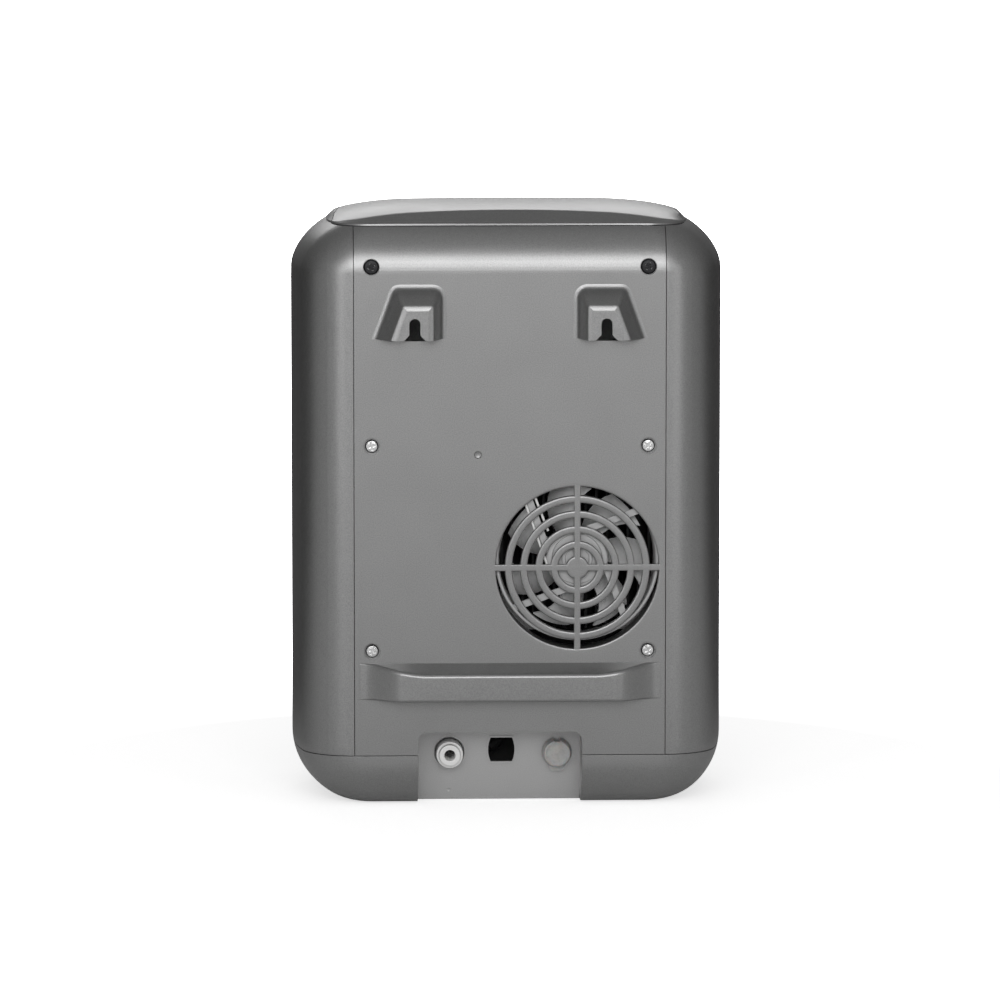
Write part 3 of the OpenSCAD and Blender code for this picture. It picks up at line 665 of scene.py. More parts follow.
@dataclass(frozen=True)
class Finish:
    """Plain moulded plastic, and the base of the other finishes.

    Colour varies slowly over the piece by mottle, and fine grain gives its surface some tooth.
    """

    slot: str
    colour: tuple = (0.5, 0.5, 0.5)
    rough: float = 0.45
    metal: float = 0.0
    mottle: float = 0.05
    grain: float = 900.0
    grain_depth: float = 0.01
    coat: float = 0.0

    def build(self) -> bpy.types.Material:
        """Builds the finish.

        Returns:
            The material.
        """
        recipe = Recipe(self.slot)
        cloud = recipe.noise(35, 3)
        grain = recipe.noise(self.grain, 2, 0.6)
        amount = (cloud * 0.6 + grain * 0.4).clamp()
        recipe.set(Base_Color=recipe.shade(self.colour, 1 - self.mottle, 1 + self.mottle, amount),
                   Roughness=(cloud - 0.5) * 0.12 + self.rough, Metallic=self.metal, Coat_Weight=self.coat,
                   Coat_Roughness=0.08)
        return recipe.bump(grain, self.grain_depth)


@dataclass(frozen=True)
class Lacquer(Finish):
    """Satin metallic lacquer with fine flake over moulded plastic."""

    flake: float = 0.08

    def build(self) -> bpy.types.Material:
        """Builds the lacquer: flake in its colour and gloss, over a faint orange peel.

        Returns:
            The material.
        """
        recipe = Recipe(self.slot)
        flake = recipe.noise(self.grain, 1, 0.7)
        cloud = recipe.noise(28, 3)
        spread = ((flake - 0.5) * 2.2 + 0.5).clamp()
        amount = (spread * 0.85 + cloud * 0.15).clamp()
        recipe.set(Base_Color=recipe.shade(self.colour, 1 - self.flake, 1 + self.flake, amount),
                   Roughness=(flake - 0.5) * 0.16 + (cloud - 0.5) * 0.06 + self.rough, Metallic=self.metal)
        return recipe.bump(recipe.noise(self.grain * 0.6, 2, 0.5), self.grain_depth)


@dataclass(frozen=True)
class Steel(Finish):
    """Drawn or rolled metal with fine lines along one axis."""

    stretch: Point = (1.0, 1.0, 0.06)

    def build(self) -> bpy.types.Material:
        """Builds the metal with its lines in colour, gloss and relief.

        Returns:
            The material.
        """
        recipe = Recipe(self.slot)
        lines = recipe.noise(self.grain, 3, 0.6, self.stretch)
        amount = (lines * 0.6 + recipe.noise(60, 3) * 0.4).clamp()
        recipe.set(Base_Color=recipe.shade(self.colour, 1 - self.mottle, 1 + self.mottle, amount),
                   Roughness=(lines - 0.5) * 0.2 + self.rough, Metallic=self.metal)
        return recipe.bump(lines, self.grain_depth)


@dataclass(frozen=True)
class Silicone(Finish):
    """Milky silicone that lets some light through."""

    def build(self) -> bpy.types.Material:
        """Builds the silicone with its cloudy colour.

        Returns:
            The material.
        """
        recipe = Recipe(self.slot)
        cloud = recipe.noise(420, 3, 0.6)
        amount = ((cloud - 0.5) * 2 + 0.5).clamp()
        recipe.set(Base_Color=recipe.shade(self.colour, 0.82, 1.12, amount),
                   Roughness=(cloud - 0.5) * 0.2 + self.rough, Transmission_Weight=0.15, IOR=1.41,
                   Subsurface_Weight=0.25, Subsurface_Scale=0.002)
        return recipe.bump(cloud, 0.05)


@dataclass(frozen=True)
class Board(Finish):
    """Circuit board with tracks under its green mask."""

    def build(self) -> bpy.types.Material:
        """Builds the board with lighter tracks.

        Returns:
            The material.
        """
        recipe = Recipe(self.slot)
        tracks = recipe.node("ShaderNodeTexVoronoi", out="Distance", settings={"distance": "CHEBYCHEV"},
                             Vector=recipe.place, Scale=260.0)
        edge = ((tracks - 0.35) * 12).clamp()
        recipe.set(Base_Color=recipe.shade(self.colour, 1.0, 1.9, edge), Roughness=edge * 0.1 + self.rough)
        return recipe.bump(edge, 0.03)


class Paintshop:
    """Holds one material for each material slot of the record."""

    FINISHES: tuple[Finish, ...] = (
        Lacquer("shell_grey", (0.30, 0.30, 0.30), 0.35, 0.88, grain=1500.0, grain_depth=0.007, flake=0.15),
        # Painted light: the bay's lacquer is a lighter copy of the shell's, standing in for the light that the
        # recess's walls keep off its back wall.
        Lacquer("bay_grey", (0.47, 0.47, 0.47), 0.36, 0.7, grain=1500.0, grain_depth=0.007, flake=0.07),
        Lacquer("fascia_dark", (0.085, 0.085, 0.09), 0.26, 0.35, grain=1600.0, grain_depth=0.004, flake=0.06),
        Finish("alcove_dark", (0.055, 0.055, 0.06), 0.42, 0.1),
        # Painted shade: the inner frame is near black, so that the inside seen through the panel's openings
        # shows as deep shade.
        Finish("frame_plastic", (0.03, 0.03, 0.03), 0.5),
        Steel("steel", (0.72, 0.72, 0.72), 0.25, 1.0, grain=700.0, stretch=(1, 0.1, 1)),
        Steel("black_steel", (0.025, 0.025, 0.027), 0.35, 0.6, grain=700.0, stretch=(1, 0.1, 1)),
        Finish("fan_grey", (0.46, 0.46, 0.46), 0.42, 0.0, grain_depth=0.02),
        # Painted light: the blades are a lighter grey than the fan frame's plastic, standing in for the light
        # that the duct keeps off them.
        Finish("rotor_grey", (0.70, 0.70, 0.70), 0.38, 0.0, grain_depth=0.01),
        # Painted shade: the heat sink is black anodised and set near black, so that the gaps between the fan
        # blades show as deep shade.
        Steel("black_anodised", (0.008, 0.008, 0.009), 0.55, 0.3, grain=500.0, stretch=(1, 1, 0.05)),
        Steel("aluminium", (0.55, 0.56, 0.57), 0.4, 1.0, grain=500.0, stretch=(1, 1, 0.05)),
        Finish("ceramic", (0.85, 0.85, 0.83), 0.5),
        Finish("tank_plastic", (0.30, 0.31, 0.31), 0.4),
        Steel("heater_steel", (0.55, 0.55, 0.56), 0.3, 1.0, grain=400.0),
        Finish("black_plastic", (0.03, 0.03, 0.03), 0.42),
        Finish("black_rubber", (0.025, 0.025, 0.025), 0.7, grain_depth=0.03),
        Finish("white_plastic", (0.88, 0.88, 0.87), 0.32, mottle=0.03),
        Finish("coil_wrap", (0.05, 0.12, 0.07), 0.4),
        Silicone("silicone", (0.52, 0.52, 0.51), 0.38),
        Finish("black_glass", (0.008, 0.008, 0.010), 0.06, grain_depth=0.0, coat=0.6),
        Board("circuit_board", (0.02, 0.10, 0.04), 0.4),
        Finish("board_components", (0.20, 0.16, 0.07), 0.45, mottle=0.3, grain=120.0),
        Finish("button_red", (0.42, 0.03, 0.03), 0.25, coat=0.4),
        Finish("button_grey", (0.34, 0.34, 0.35), 0.25, coat=0.4),
        Finish("button_blue", (0.03, 0.11, 0.42), 0.25, coat=0.4),
    )

    def __init__(self) -> None:
        """Builds every finish once."""
        self.materials = {finish.slot: finish.build() for finish in self.FINISHES}

    def paint(self, piece: Object, slot: str) -> None:
        """Gives a piece one material all over."""
        piece.data.materials.clear()
        piece.data.materials.append(self.materials[slot])

    def paint_frame(self) -> None:
        """Paints each CAD node with the material of its slot."""
        for part in frame["record"]["subparts"]:
            self.paint(frame["nodes"][part["node"]], part["material_slot"])


@dataclass
class Assembly:
    """What every sub-assembly shares: the paint shop and the way a finished piece is fitted."""

    paint: Paintshop

    def fit(self, piece: Object, name: str, slot: str, body: str, *nodes: str) -> Object:
        """Names, paints and mounts a finished piece.

        Args:
            piece: The piece, in place.
            name: Its name.
            slot: Material slot of its finish.
            body: CAD body that it rides on.
            *nodes: CAD nodes that it stands for.

        Returns:
            The piece.
        """
        piece.name = name
        self.paint.paint(piece, slot)
        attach(piece, body)
        if nodes:
            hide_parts(*nodes)
        LOG.info("%s: %d faces", name, len(piece.data.polygons))
        return piece

    def refine(self, node: str, body: str, edge: float) -> Object:
        """Fits a copy of a CAD node with softened edges in its place.

        Args:
            node: The CAD node.
            body: Body that it rides on.
            edge: Width of the softened edges.

        Returns:
            The refined piece.
        """
        piece = Bench.copy(frame["nodes"][node], node + "_fine")
        piece.parent = None
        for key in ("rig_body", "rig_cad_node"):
            del piece[key]
        Bench.flatten(Bench.weld(piece, 0.01))
        Bench.soften(piece, edge)
        slot = next(part["material_slot"] for part in frame["record"]["subparts"] if part["node"] == node)
        return self.fit(Bench.smooth(piece, 40), node + "_fine", slot, body, node)


# ---------------------------------------------------------------- outer shells


@dataclass
class Bodywork(Assembly):
    """The outer shells, cut from one smooth form."""

    half_w: float = 132.5
    half_d: float = 78.0
    height: float = 366.0
    wall: float = 2.8
    gap: float = 0.45
    corner_r: float = 34.0
    bow: float = math.radians(12)
    top_r: float = 36.0
    arc_z: float = 327.0
    cover_z: float = 355.0
    shoulder_w: float = 74.0
    shoulder_h: float = 41.0
    foot_r: float = 38.0
    heel_r: float = 26.0
    base_z: float = 32.0
    panel_hw: float = 94.8
    cover_side: tuple = ((108.4, 48.0), (98.5, -62.0))
    crest: float = 0.814
    crest_bow: float = 0.11
    crest_reach: float = 104.0
    crest_fall: float = 4.2
    crest_blend: float = 0.035
    dome_power: float = 2.4
    swell: float = 2.2
    swell_from: float = 10.0
    swell_over: float = 20.0
    bulge: float = 4.4
    bulge_w: float = 52.6
    bulge_rise: float = 2.2
    bulge_end: float = 30.0
    lip: float = 1.0
    lip_end: float = 108.0
    lip_fade: float = 8.0
    lip_slope: float = 0.3
    plan_steps: tuple = (20, 16, 10)

    def width_at(self, z: float) -> float:
        """Half width of the form.

        Args:
            z: Height.

        Returns:
            The half width there.
        """
        rise = z - (self.height - self.shoulder_h)
        if rise > 0:
            swell = self.swell * clamp((rise - self.swell_from) / self.swell_over) ** 2
            fall = 1 - math.sqrt(max(0, 1 - (rise / self.shoulder_h) ** 2))
            return self.half_w + swell - self.shoulder_w * fall
        if z < self.foot_r:
            return self.half_w - self.foot_r + math.sqrt(self.foot_r ** 2 - (self.foot_r - z) ** 2)
        return self.half_w

    def depth_at(self, z: float) -> float:
        """Half depth of the form up to the cover's seam.

        Args:
            z: Height.

        Returns:
            The half depth there.
        """
        if z > self.arc_z:
            return self.half_d - self.top_r + math.sqrt(self.top_r ** 2 - (z - self.arc_z) ** 2)
        if z < self.heel_r:
            return self.half_d - self.heel_r + math.sqrt(self.heel_r ** 2 - (self.heel_r - z) ** 2)
        return self.half_d

    def bow_r(self, h: float, r: float) -> float:
        """Radius of the bowed side."""
        return (h - r + r * math.sin(self.bow)) / math.sin(self.bow)

    def plan(self, w: float, h: float, turn: tuple[int, float], sx: int, sy: int) -> tuple[float, float]:
        """Point of a plan outline.

        Args:
            w: Half width.
            h: Half depth.
            turn: Which stretch of the quarter, 0 flat, 1 corner or 2 bowed side, and the share of the way
                along it.
            sx: Side, 1 or -1.
            sy: Rear 1 or front -1.

        Returns:
            The point's x and y.
        """
        r = max(3.0, self.corner_r - self.half_d + h)
        big = self.bow_r(h, r)
        corner = w - big * (1 - math.cos(self.bow)) - r * math.cos(self.bow)
        stretch, t = turn
        if stretch == 0:
            return sx * corner * t, sy * h
        if stretch == 1:
            a = math.pi / 2 - (math.pi / 2 - self.bow) * t
            return sx * (corner + r * math.cos(a)), sy * (h - r + r * math.sin(a))
        a = self.bow * (1 - t)
        return sx * (w - big * (1 - math.cos(a))), sy * big * math.sin(a)

    def rim_y(self, x: float) -> float:
        """Half depth of the form at the level of the cover's seam.

        Args:
            x: Place across.

        Returns:
            The half depth there.
        """
        w, h = self.width_at(self.cover_z), self.depth_at(self.cover_z)
        r = self.corner_r - self.half_d + h
        big = self.bow_r(h, r)
        corner = w - big * (1 - math.cos(self.bow)) - r * math.cos(self.bow)
        x = abs(x)
        if x <= corner:
            return h
        side = corner + r * math.cos(self.bow)
        if x <= side:
            return h - r + math.sqrt(max(0, r * r - (x - corner) ** 2))
        return big * math.sin(math.acos(max(-1.0, min(1.0, 1 - (w - x) / big)))) if x < w else 0.0

    def crest_at(self, x: float) -> float:
        """Share of the way from the middle to the rim where the cover's crest lies."""
        return self.crest + self.crest_bow * (abs(x) / self.crest_reach) ** 2

    def roof(self, x: float, y: float) -> float:
        """Height of the cover.

        Args:
            x: Place across.
            y: Place along the depth.

        Returns:
            The height there.
        """
        drop = max(0.0, abs(x) - (self.half_w - self.shoulder_w)) / self.shoulder_w
        ridge = self.height - self.shoulder_h * (1 - math.sqrt(max(0, 1 - drop ** 2)))
        u = clamp((abs(x) - self.half_w + self.shoulder_w) / self.bulge_w)
        ridge += self.bulge * u ** self.bulge_rise * (1 - u ** self.bulge_end)
        rim = max(1e-6, self.rim_y(x))
        t = min(1.0, abs(y) / rim)
        fade = clamp((self.lip_end - abs(x)) / self.lip_fade)
        foot = self.cover_z + self.lip * fade * min(1.0, (rim - rim * t) / self.lip_slope)
        crest = self.crest_at(x)
        low = self.crest_fall * (1 - crest)
        band = self.crest_fall * (1 - t)
        dome = 1 - (1 - low) * (t / crest) ** self.dome_power
        soft = max(0.0, self.crest_blend - abs(band - dome)) / self.crest_blend
        share = min(band, dome) - soft * soft * self.crest_blend / 4
        return foot + max(0.0, ridge - foot) * max(0.0, share)

    def turns(self) -> list[tuple]:
        """Columns around the whole plan, from the middle of the rear and back to it.

        Returns:
            The stretch of the quarter and the two sides of each column.
        """
        quarter = [(stretch, k / steps) for stretch, steps in enumerate(self.plan_steps) for k in range(steps)]
        rear = [(turn, 1, 1) for turn in quarter]
        front = [(turn, 1, -1) for turn in quarter]
        around = rear + [((2, 1.0), 1, 1)] + front[::-1][:-1] + [((0, 0.0), 1, -1)]
        other = [(turn, -1, sy) for turn, _, sy in around[::-1]]
        return around + other[1:]

    def form(self) -> Object:
        """Builds the whole outer form, which the shells are cut from.

        Its rows are heights with a share of the plan ("z"), steps from the cover's seam to its crest ("r")
        and steps from the crest to the middle of the roof ("t").

        Returns:
            The closed form.
        """
        levels = [("z", 0.0, s) for s in (0.0, 0.5, 0.9)]
        levels += [("z", self.foot_r * (1 - math.cos(math.radians(a))), 1.0) for a in range(0, 91, 5)]
        levels += [("z", z, 1.0) for z in (70, 120, 170, 220, 270, 305, 320)]
        levels += [("z", self.arc_z + k * 2.0, 1.0) for k in range(15)]
        levels += [("r", level, 1.0) for level in (0.035, 1 / 6, 2 / 6, 3 / 6, 4 / 6, 5 / 6, 1.0)]
        levels += [("t", k / 16, 1.0) for k in range(1, 17)]

        def place(column: tuple, row: tuple) -> Point:
            """Point of the form.

            Args:
                column: Stretch of the quarter and the two sides.
                row: Kind of the row, its level and its share of the plan.

            Returns:
                The point.
            """
            turn, sx, sy = column
            kind, level, share = row
            if kind == "z":
                x, y = self.plan(self.width_at(level), self.depth_at(level), turn, sx, sy)
                return x * share, y * share, level
            x, y = self.plan(self.width_at(self.cover_z), self.depth_at(self.cover_z), turn, sx, sy)
            low, high = 0.75, 0.995
            for _ in range(24):
                mid = (low + high) / 2
                if abs(y) * mid < self.crest_at(x * mid) * self.rim_y(x * mid):
                    low = mid
                else:
                    high = mid
            scale = 1 - (1 - low) * level if kind == "r" else low * (1 - level ** 1.2)
            return x * scale, y * scale, self.roof(x * scale, y * scale)

        return Bench.sheet("form", self.turns(), levels, place)

    def side_plane(self, side: int, shift: float) -> tuple[Point, Point]:
        """Plane of the cover's slanted side seam.

        Args:
            side: 1 or -1.
            shift: How far the plane is moved outwards.

        Returns:
            A point on it and its outward normal.
        """
        (x0, y0), (x1, y1) = self.cover_side
        length = math.hypot(x1 - x0, y1 - y0)
        normal = ((y0 - y1) / length, (x1 - x0) / length)
        at = (side * (x0 + shift * normal[0]), y0 + shift * normal[1], 0.0)
        return at, (side * normal[0], normal[1], 0.0)

    def shell(self, piece: Object, edge: float = 0.5) -> Object:
        """Makes a shell of a cut sheet.

        Args:
            piece: The sheet.
            edge: Width of its softened rims.

        Returns:
            The shell.
        """
        Bench.thicken(Bench.weld(piece, 0.02), self.wall)
        Bench.soften(piece, edge, 3, 50)
        return Bench.smooth(piece, 32)

    def cover(self, form: Object) -> None:
        """Fits the top cover.

        Args:
            form: The outer form.
        """
        piece = Bench.copy(form, "cover")
        half = self.gap / 2
        Bench.split(piece, (0, 0, self.cover_z + half), (0, 0, -1))
        for side in (1, -1):
            Bench.split(piece, *self.side_plane(side, -half))
        self.fit(self.shell(piece), "cover", "shell_grey", "body", "top_cover")

    def sides(self, form: Object) -> None:
        """Fits the two side shells.

        Args:
            form: The outer form.
        """
        half = self.gap / 2
        for side, name in ((1, "left"), (-1, "right")):
            piece = Bench.copy(form, "side_" + name)
            Bench.split(piece, (side * (self.panel_hw + half), 0, 0), (-side, 0, 0))
            Bench.split(piece, (0, 0, self.base_z + half), (0, 0, -1))
            at, normal = self.side_plane(side, half)
            Bench.split(piece, at, normal, drop=False)
            Bench.split(piece, (0, 0, self.cover_z - half), (0, 0, 1), drop=False)

            def under_cover(face: bpy.types.MeshPolygon) -> bool:
                """Tells whether a face lies inside the cover's seams.

                Args:
                    face: The face.

                Returns:
                    Whether it does.
                """
                centre = face.center / MM
                across = (centre.x - at[0]) * normal[0] + (centre.y - at[1]) * normal[1]
                return centre.z > self.cover_z - half and across < 0

            with Bench.selecting(piece, Part.FACE, under_cover):
                bpy.ops.mesh.delete(type="FACE")
            self.fit(self.shell(piece), "side_" + name, "shell_grey", "body", "side_shell_" + name)

    def base(self, form: Object, bay: "ConnectionBay") -> None:
        """Fits the base, with the bay's mouth cut through its rear.

        Args:
            form: The outer form.
            bay: The recess.
        """
        piece = Bench.copy(form, "base")
        Bench.split(piece, (0, 0, self.base_z - self.gap / 2), (0, 0, 1))
        Bench.weld(Bench.flatten(piece), 0.02)
        Bench.thicken(piece, self.wall)
        Bench.carve(piece, [bay.block(bay.y - 1.6, 100)])
        Bench.soften(piece, 1.1, 4, 50)
        self.fit(Bench.smooth(piece, 32), "base", "shell_grey", "body", "base_shell")

    def panel(self, form: Object, front: bool) -> Object:
        """Cuts the front or rear panel out of the form.

        Args:
            form: The outer form.
            front: Whether it is the front one.

        Returns:
            The panel with its wall, and with its flat area as one face.
        """
        half = self.gap / 2
        piece = Bench.copy(form, "panel")
        for at, normal in (
                ((self.panel_hw - half, 0, 0), (1, 0, 0)), ((half - self.panel_hw, 0, 0), (-1, 0, 0)),
                ((0, 0, self.base_z + half), (0, 0, -1)), ((0, 0, self.cover_z - half), (0, 0, 1)),
                ((0, 0, 0), (0, 1 if front else -1, 0))):
            Bench.split(piece, at, normal)
        return Bench.thicken(Bench.flatten(Bench.weld(piece, 0.02)), self.wall)


def arc(cx: float, cz: float, r: float, a0: float, a1: float, steps: int = 8) -> Outline:
    """Points of an arc between two angles in degrees."""
    return [(cx + r * math.cos(math.radians(a0 + (a1 - a0) * k / steps)),
             cz + r * math.sin(math.radians(a0 + (a1 - a0) * k / steps))) for k in range(steps + 1)]


def round_box(x0: float, x1: float, z0: float, z1: float, r: float) -> Outline:
    """Outline of a rectangle with round corners."""
    return (arc(x1 - r, z1 - r, r, 0, 90) + arc(x0 + r, z1 - r, r, 90, 180)
            + arc(x0 + r, z0 + r, r, 180, 270) + arc(x1 - r, z0 + r, r, 270, 360))


@dataclass
class ConnectionBay(Assembly):
    """The recess for the water and mains connections, with its fittings."""

    x0: float = -44.0
    x1: float = 56.0
    top: float = 46.4
    corner: float = 5.5
    y: float = 48.0
    mouth_y: float = 77.0
    wall: float = 2.0
    port_z: float = 29.4
    inlet_x: float = 36.3
    cord_x: float = 4.3
    cord_z: float = 31.0
    cord_half: float = 8.1
    cord_flat: float = 7.4
    cord_bow: float = 18.6
    plug_x: float = -29.8
    low: float = -8.0
    heel_r: float = 26.0
    heel_y: float = 52.0
    heel_wall: float = 3.3

    def block(self, y0: float, y1: float, grow: float = 0.0) -> Object:
        """Builds the recess as a solid tool, open below the base.

        Args:
            y0: Where it starts.
            y1: Where it ends.
            grow: How far its outline is moved outwards.

        Returns:
            The tool.
        """
        r = self.corner + grow
        edge = ([(self.x1 + grow, self.low)] + arc(self.x1 + grow - r, self.top + grow - r, r, 0, 90)
                + arc(self.x0 - grow + r, self.top + grow - r, r, 90, 180) + [(self.x0 - grow, self.low)])
        return Bench.outline("bay_tool", edge, y0, y1)

    def liner(self) -> None:
        """Fits the recess's walls, with the three openings in its back wall."""
        piece = self.block(self.y - self.wall, self.mouth_y - 2, self.wall)
        Bench.carve(piece, [self.block(self.y, 100)])
        heel = self.heel_r - self.heel_wall
        for angle in range(5, 90, 14):
            a = math.radians(angle)
            at = (0, self.heel_y + heel * math.cos(a), self.heel_r - heel * math.sin(a))
            Bench.split(piece, at, (0, math.cos(a), -math.sin(a)), fill=True)
        Bench.split(piece, (0, 0, 2.85), (0, 0, -1), fill=True)
        skirt = Bench.slab("skirt", (self.x0 + 0.1, self.y - 1.5, 0.4), (self.x1 - 0.1, self.y, 3.6))
        Bench.carve(piece, [skirt], Trim.JOIN)
        rim = Bench.outline("rim", self.cord_outline(1.2), self.y - 0.5, self.y + 0.8)
        Bench.carve(piece, [rim], Trim.JOIN)
        holes = [
            Bench.post("hole", (self.inlet_x, self.y - 5, self.port_z), Axis.Y, 9.3, 10),
            Bench.post("hole", (self.plug_x, self.y - 5, self.port_z), Axis.Y, 7.8, 10),
            Bench.outline("hole", self.cord_outline(0), self.y - 5, self.y + 5),
            Bench.turned("gate", (self.inlet_x + 0.4, self.y + 0.55, 6.0),
                         [(0, -0.9), (1.0, -0.75), (1.5, 0), (0, 0)], sides=24),
        ]
        Bench.carve(piece, holes)
        Bench.soften(piece, 0.45, 2, 50)
        self.fit(Bench.smooth(piece, 40), "bay", "bay_grey", "body", "connection_bay")

    def cord_outline(self, grow: float) -> Outline:
        """Barrel outline of the mains cord's hole: round sides, flat above and below.

        Args:
            grow: How far it is moved outwards.

        Returns:
            The outline.
        """
        half, bow, steps = self.cord_half + grow, self.cord_bow, 12
        limit = math.asin((self.cord_flat + grow) / bow)
        turns = [limit * (2 * k / steps - 1) for k in range(steps + 1)]
        return [(self.cord_x + side * (half - bow + bow * math.cos(a)),
                 self.cord_z + side * bow * math.sin(a)) for side in (1, -1) for a in turns]

    def inlet(self) -> None:
        """Fits the push-fit collar and its release ring."""
        at = (self.inlet_x, self.y, self.port_z)
        collar = Bench.turned("inlet", at, [
            (5.35, -14), (10.2, -14), (10.2, -10), (7.0, -10), (7.0, -4), (8.2, -3.9), (8.2, 10.3),
            (8.05, 10.8), (7.7, 11), (6.75, 11), (6.6, 10.85), (6.6, 8.0), (5.35, 8.0), (5.35, -14)], sides=96)
        self.fit(Bench.smooth(collar, 30), "inlet", "white_plastic", "body", "inlet_fitting")
        ring = Bench.turned("collet", at, [
            (3.3, -6), (5.2, -6), (5.2, 11.6), (6.3, 11.7), (6.45, 12.0), (6.45, 13.3), (6.3, 13.7),
            (5.9, 13.85), (4.0, 13.8), (3.5, 13.5), (3.3, 12.8), (3.3, -6)], sides=96)
        self.fit(Bench.smooth(ring, 30), "collet", "white_plastic", "collet", "inlet_collet")

    def plug(self) -> None:
        """Fits the silicone drain plug: a lobed cap with a pull tab below and a notch above."""
        at = (self.plug_x, self.y, self.port_z)
        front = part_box("drain_plug")[1].y / MM - self.y
        cap = Bench.turned("plug", at, [
            (0, -2), (6.0, -2), (6.1, 0.5), (8.6, 0.9), (9.05, 1.4), (9.15, 2.6), (8.8, 3.6),
            (7.9, front - 0.6), (6.9, front - 0.35), (6.2, front - 0.9), (4.0, front - 0.9),
            (3.4, front - 0.4), (0, front - 0.3)], sides=72)
        tab = Bench.outline("tab", round_box(self.plug_x - 4.6, self.plug_x + 4.6, self.port_z - 11.4,
                                             self.port_z - 5, 2.4), self.y + 1.2, self.y + 3.6)
        Bench.carve(cap, [tab], Trim.JOIN)
        notch = Bench.slab("notch", (self.plug_x - 1.7, self.y - 1, self.port_z + 7.3),
                           (self.plug_x + 1.7, self.y + 20, self.port_z + 12))
        Bench.carve(cap, [notch])
        Bench.soften(cap, 0.5, 3, 45)
        self.fit(Bench.smooth(cap, 45), "plug", "silicone", "plug", "drain_plug")

    def build(self) -> None:
        """Fits the whole bay."""
        self.liner()
        self.inlet()
        self.plug()


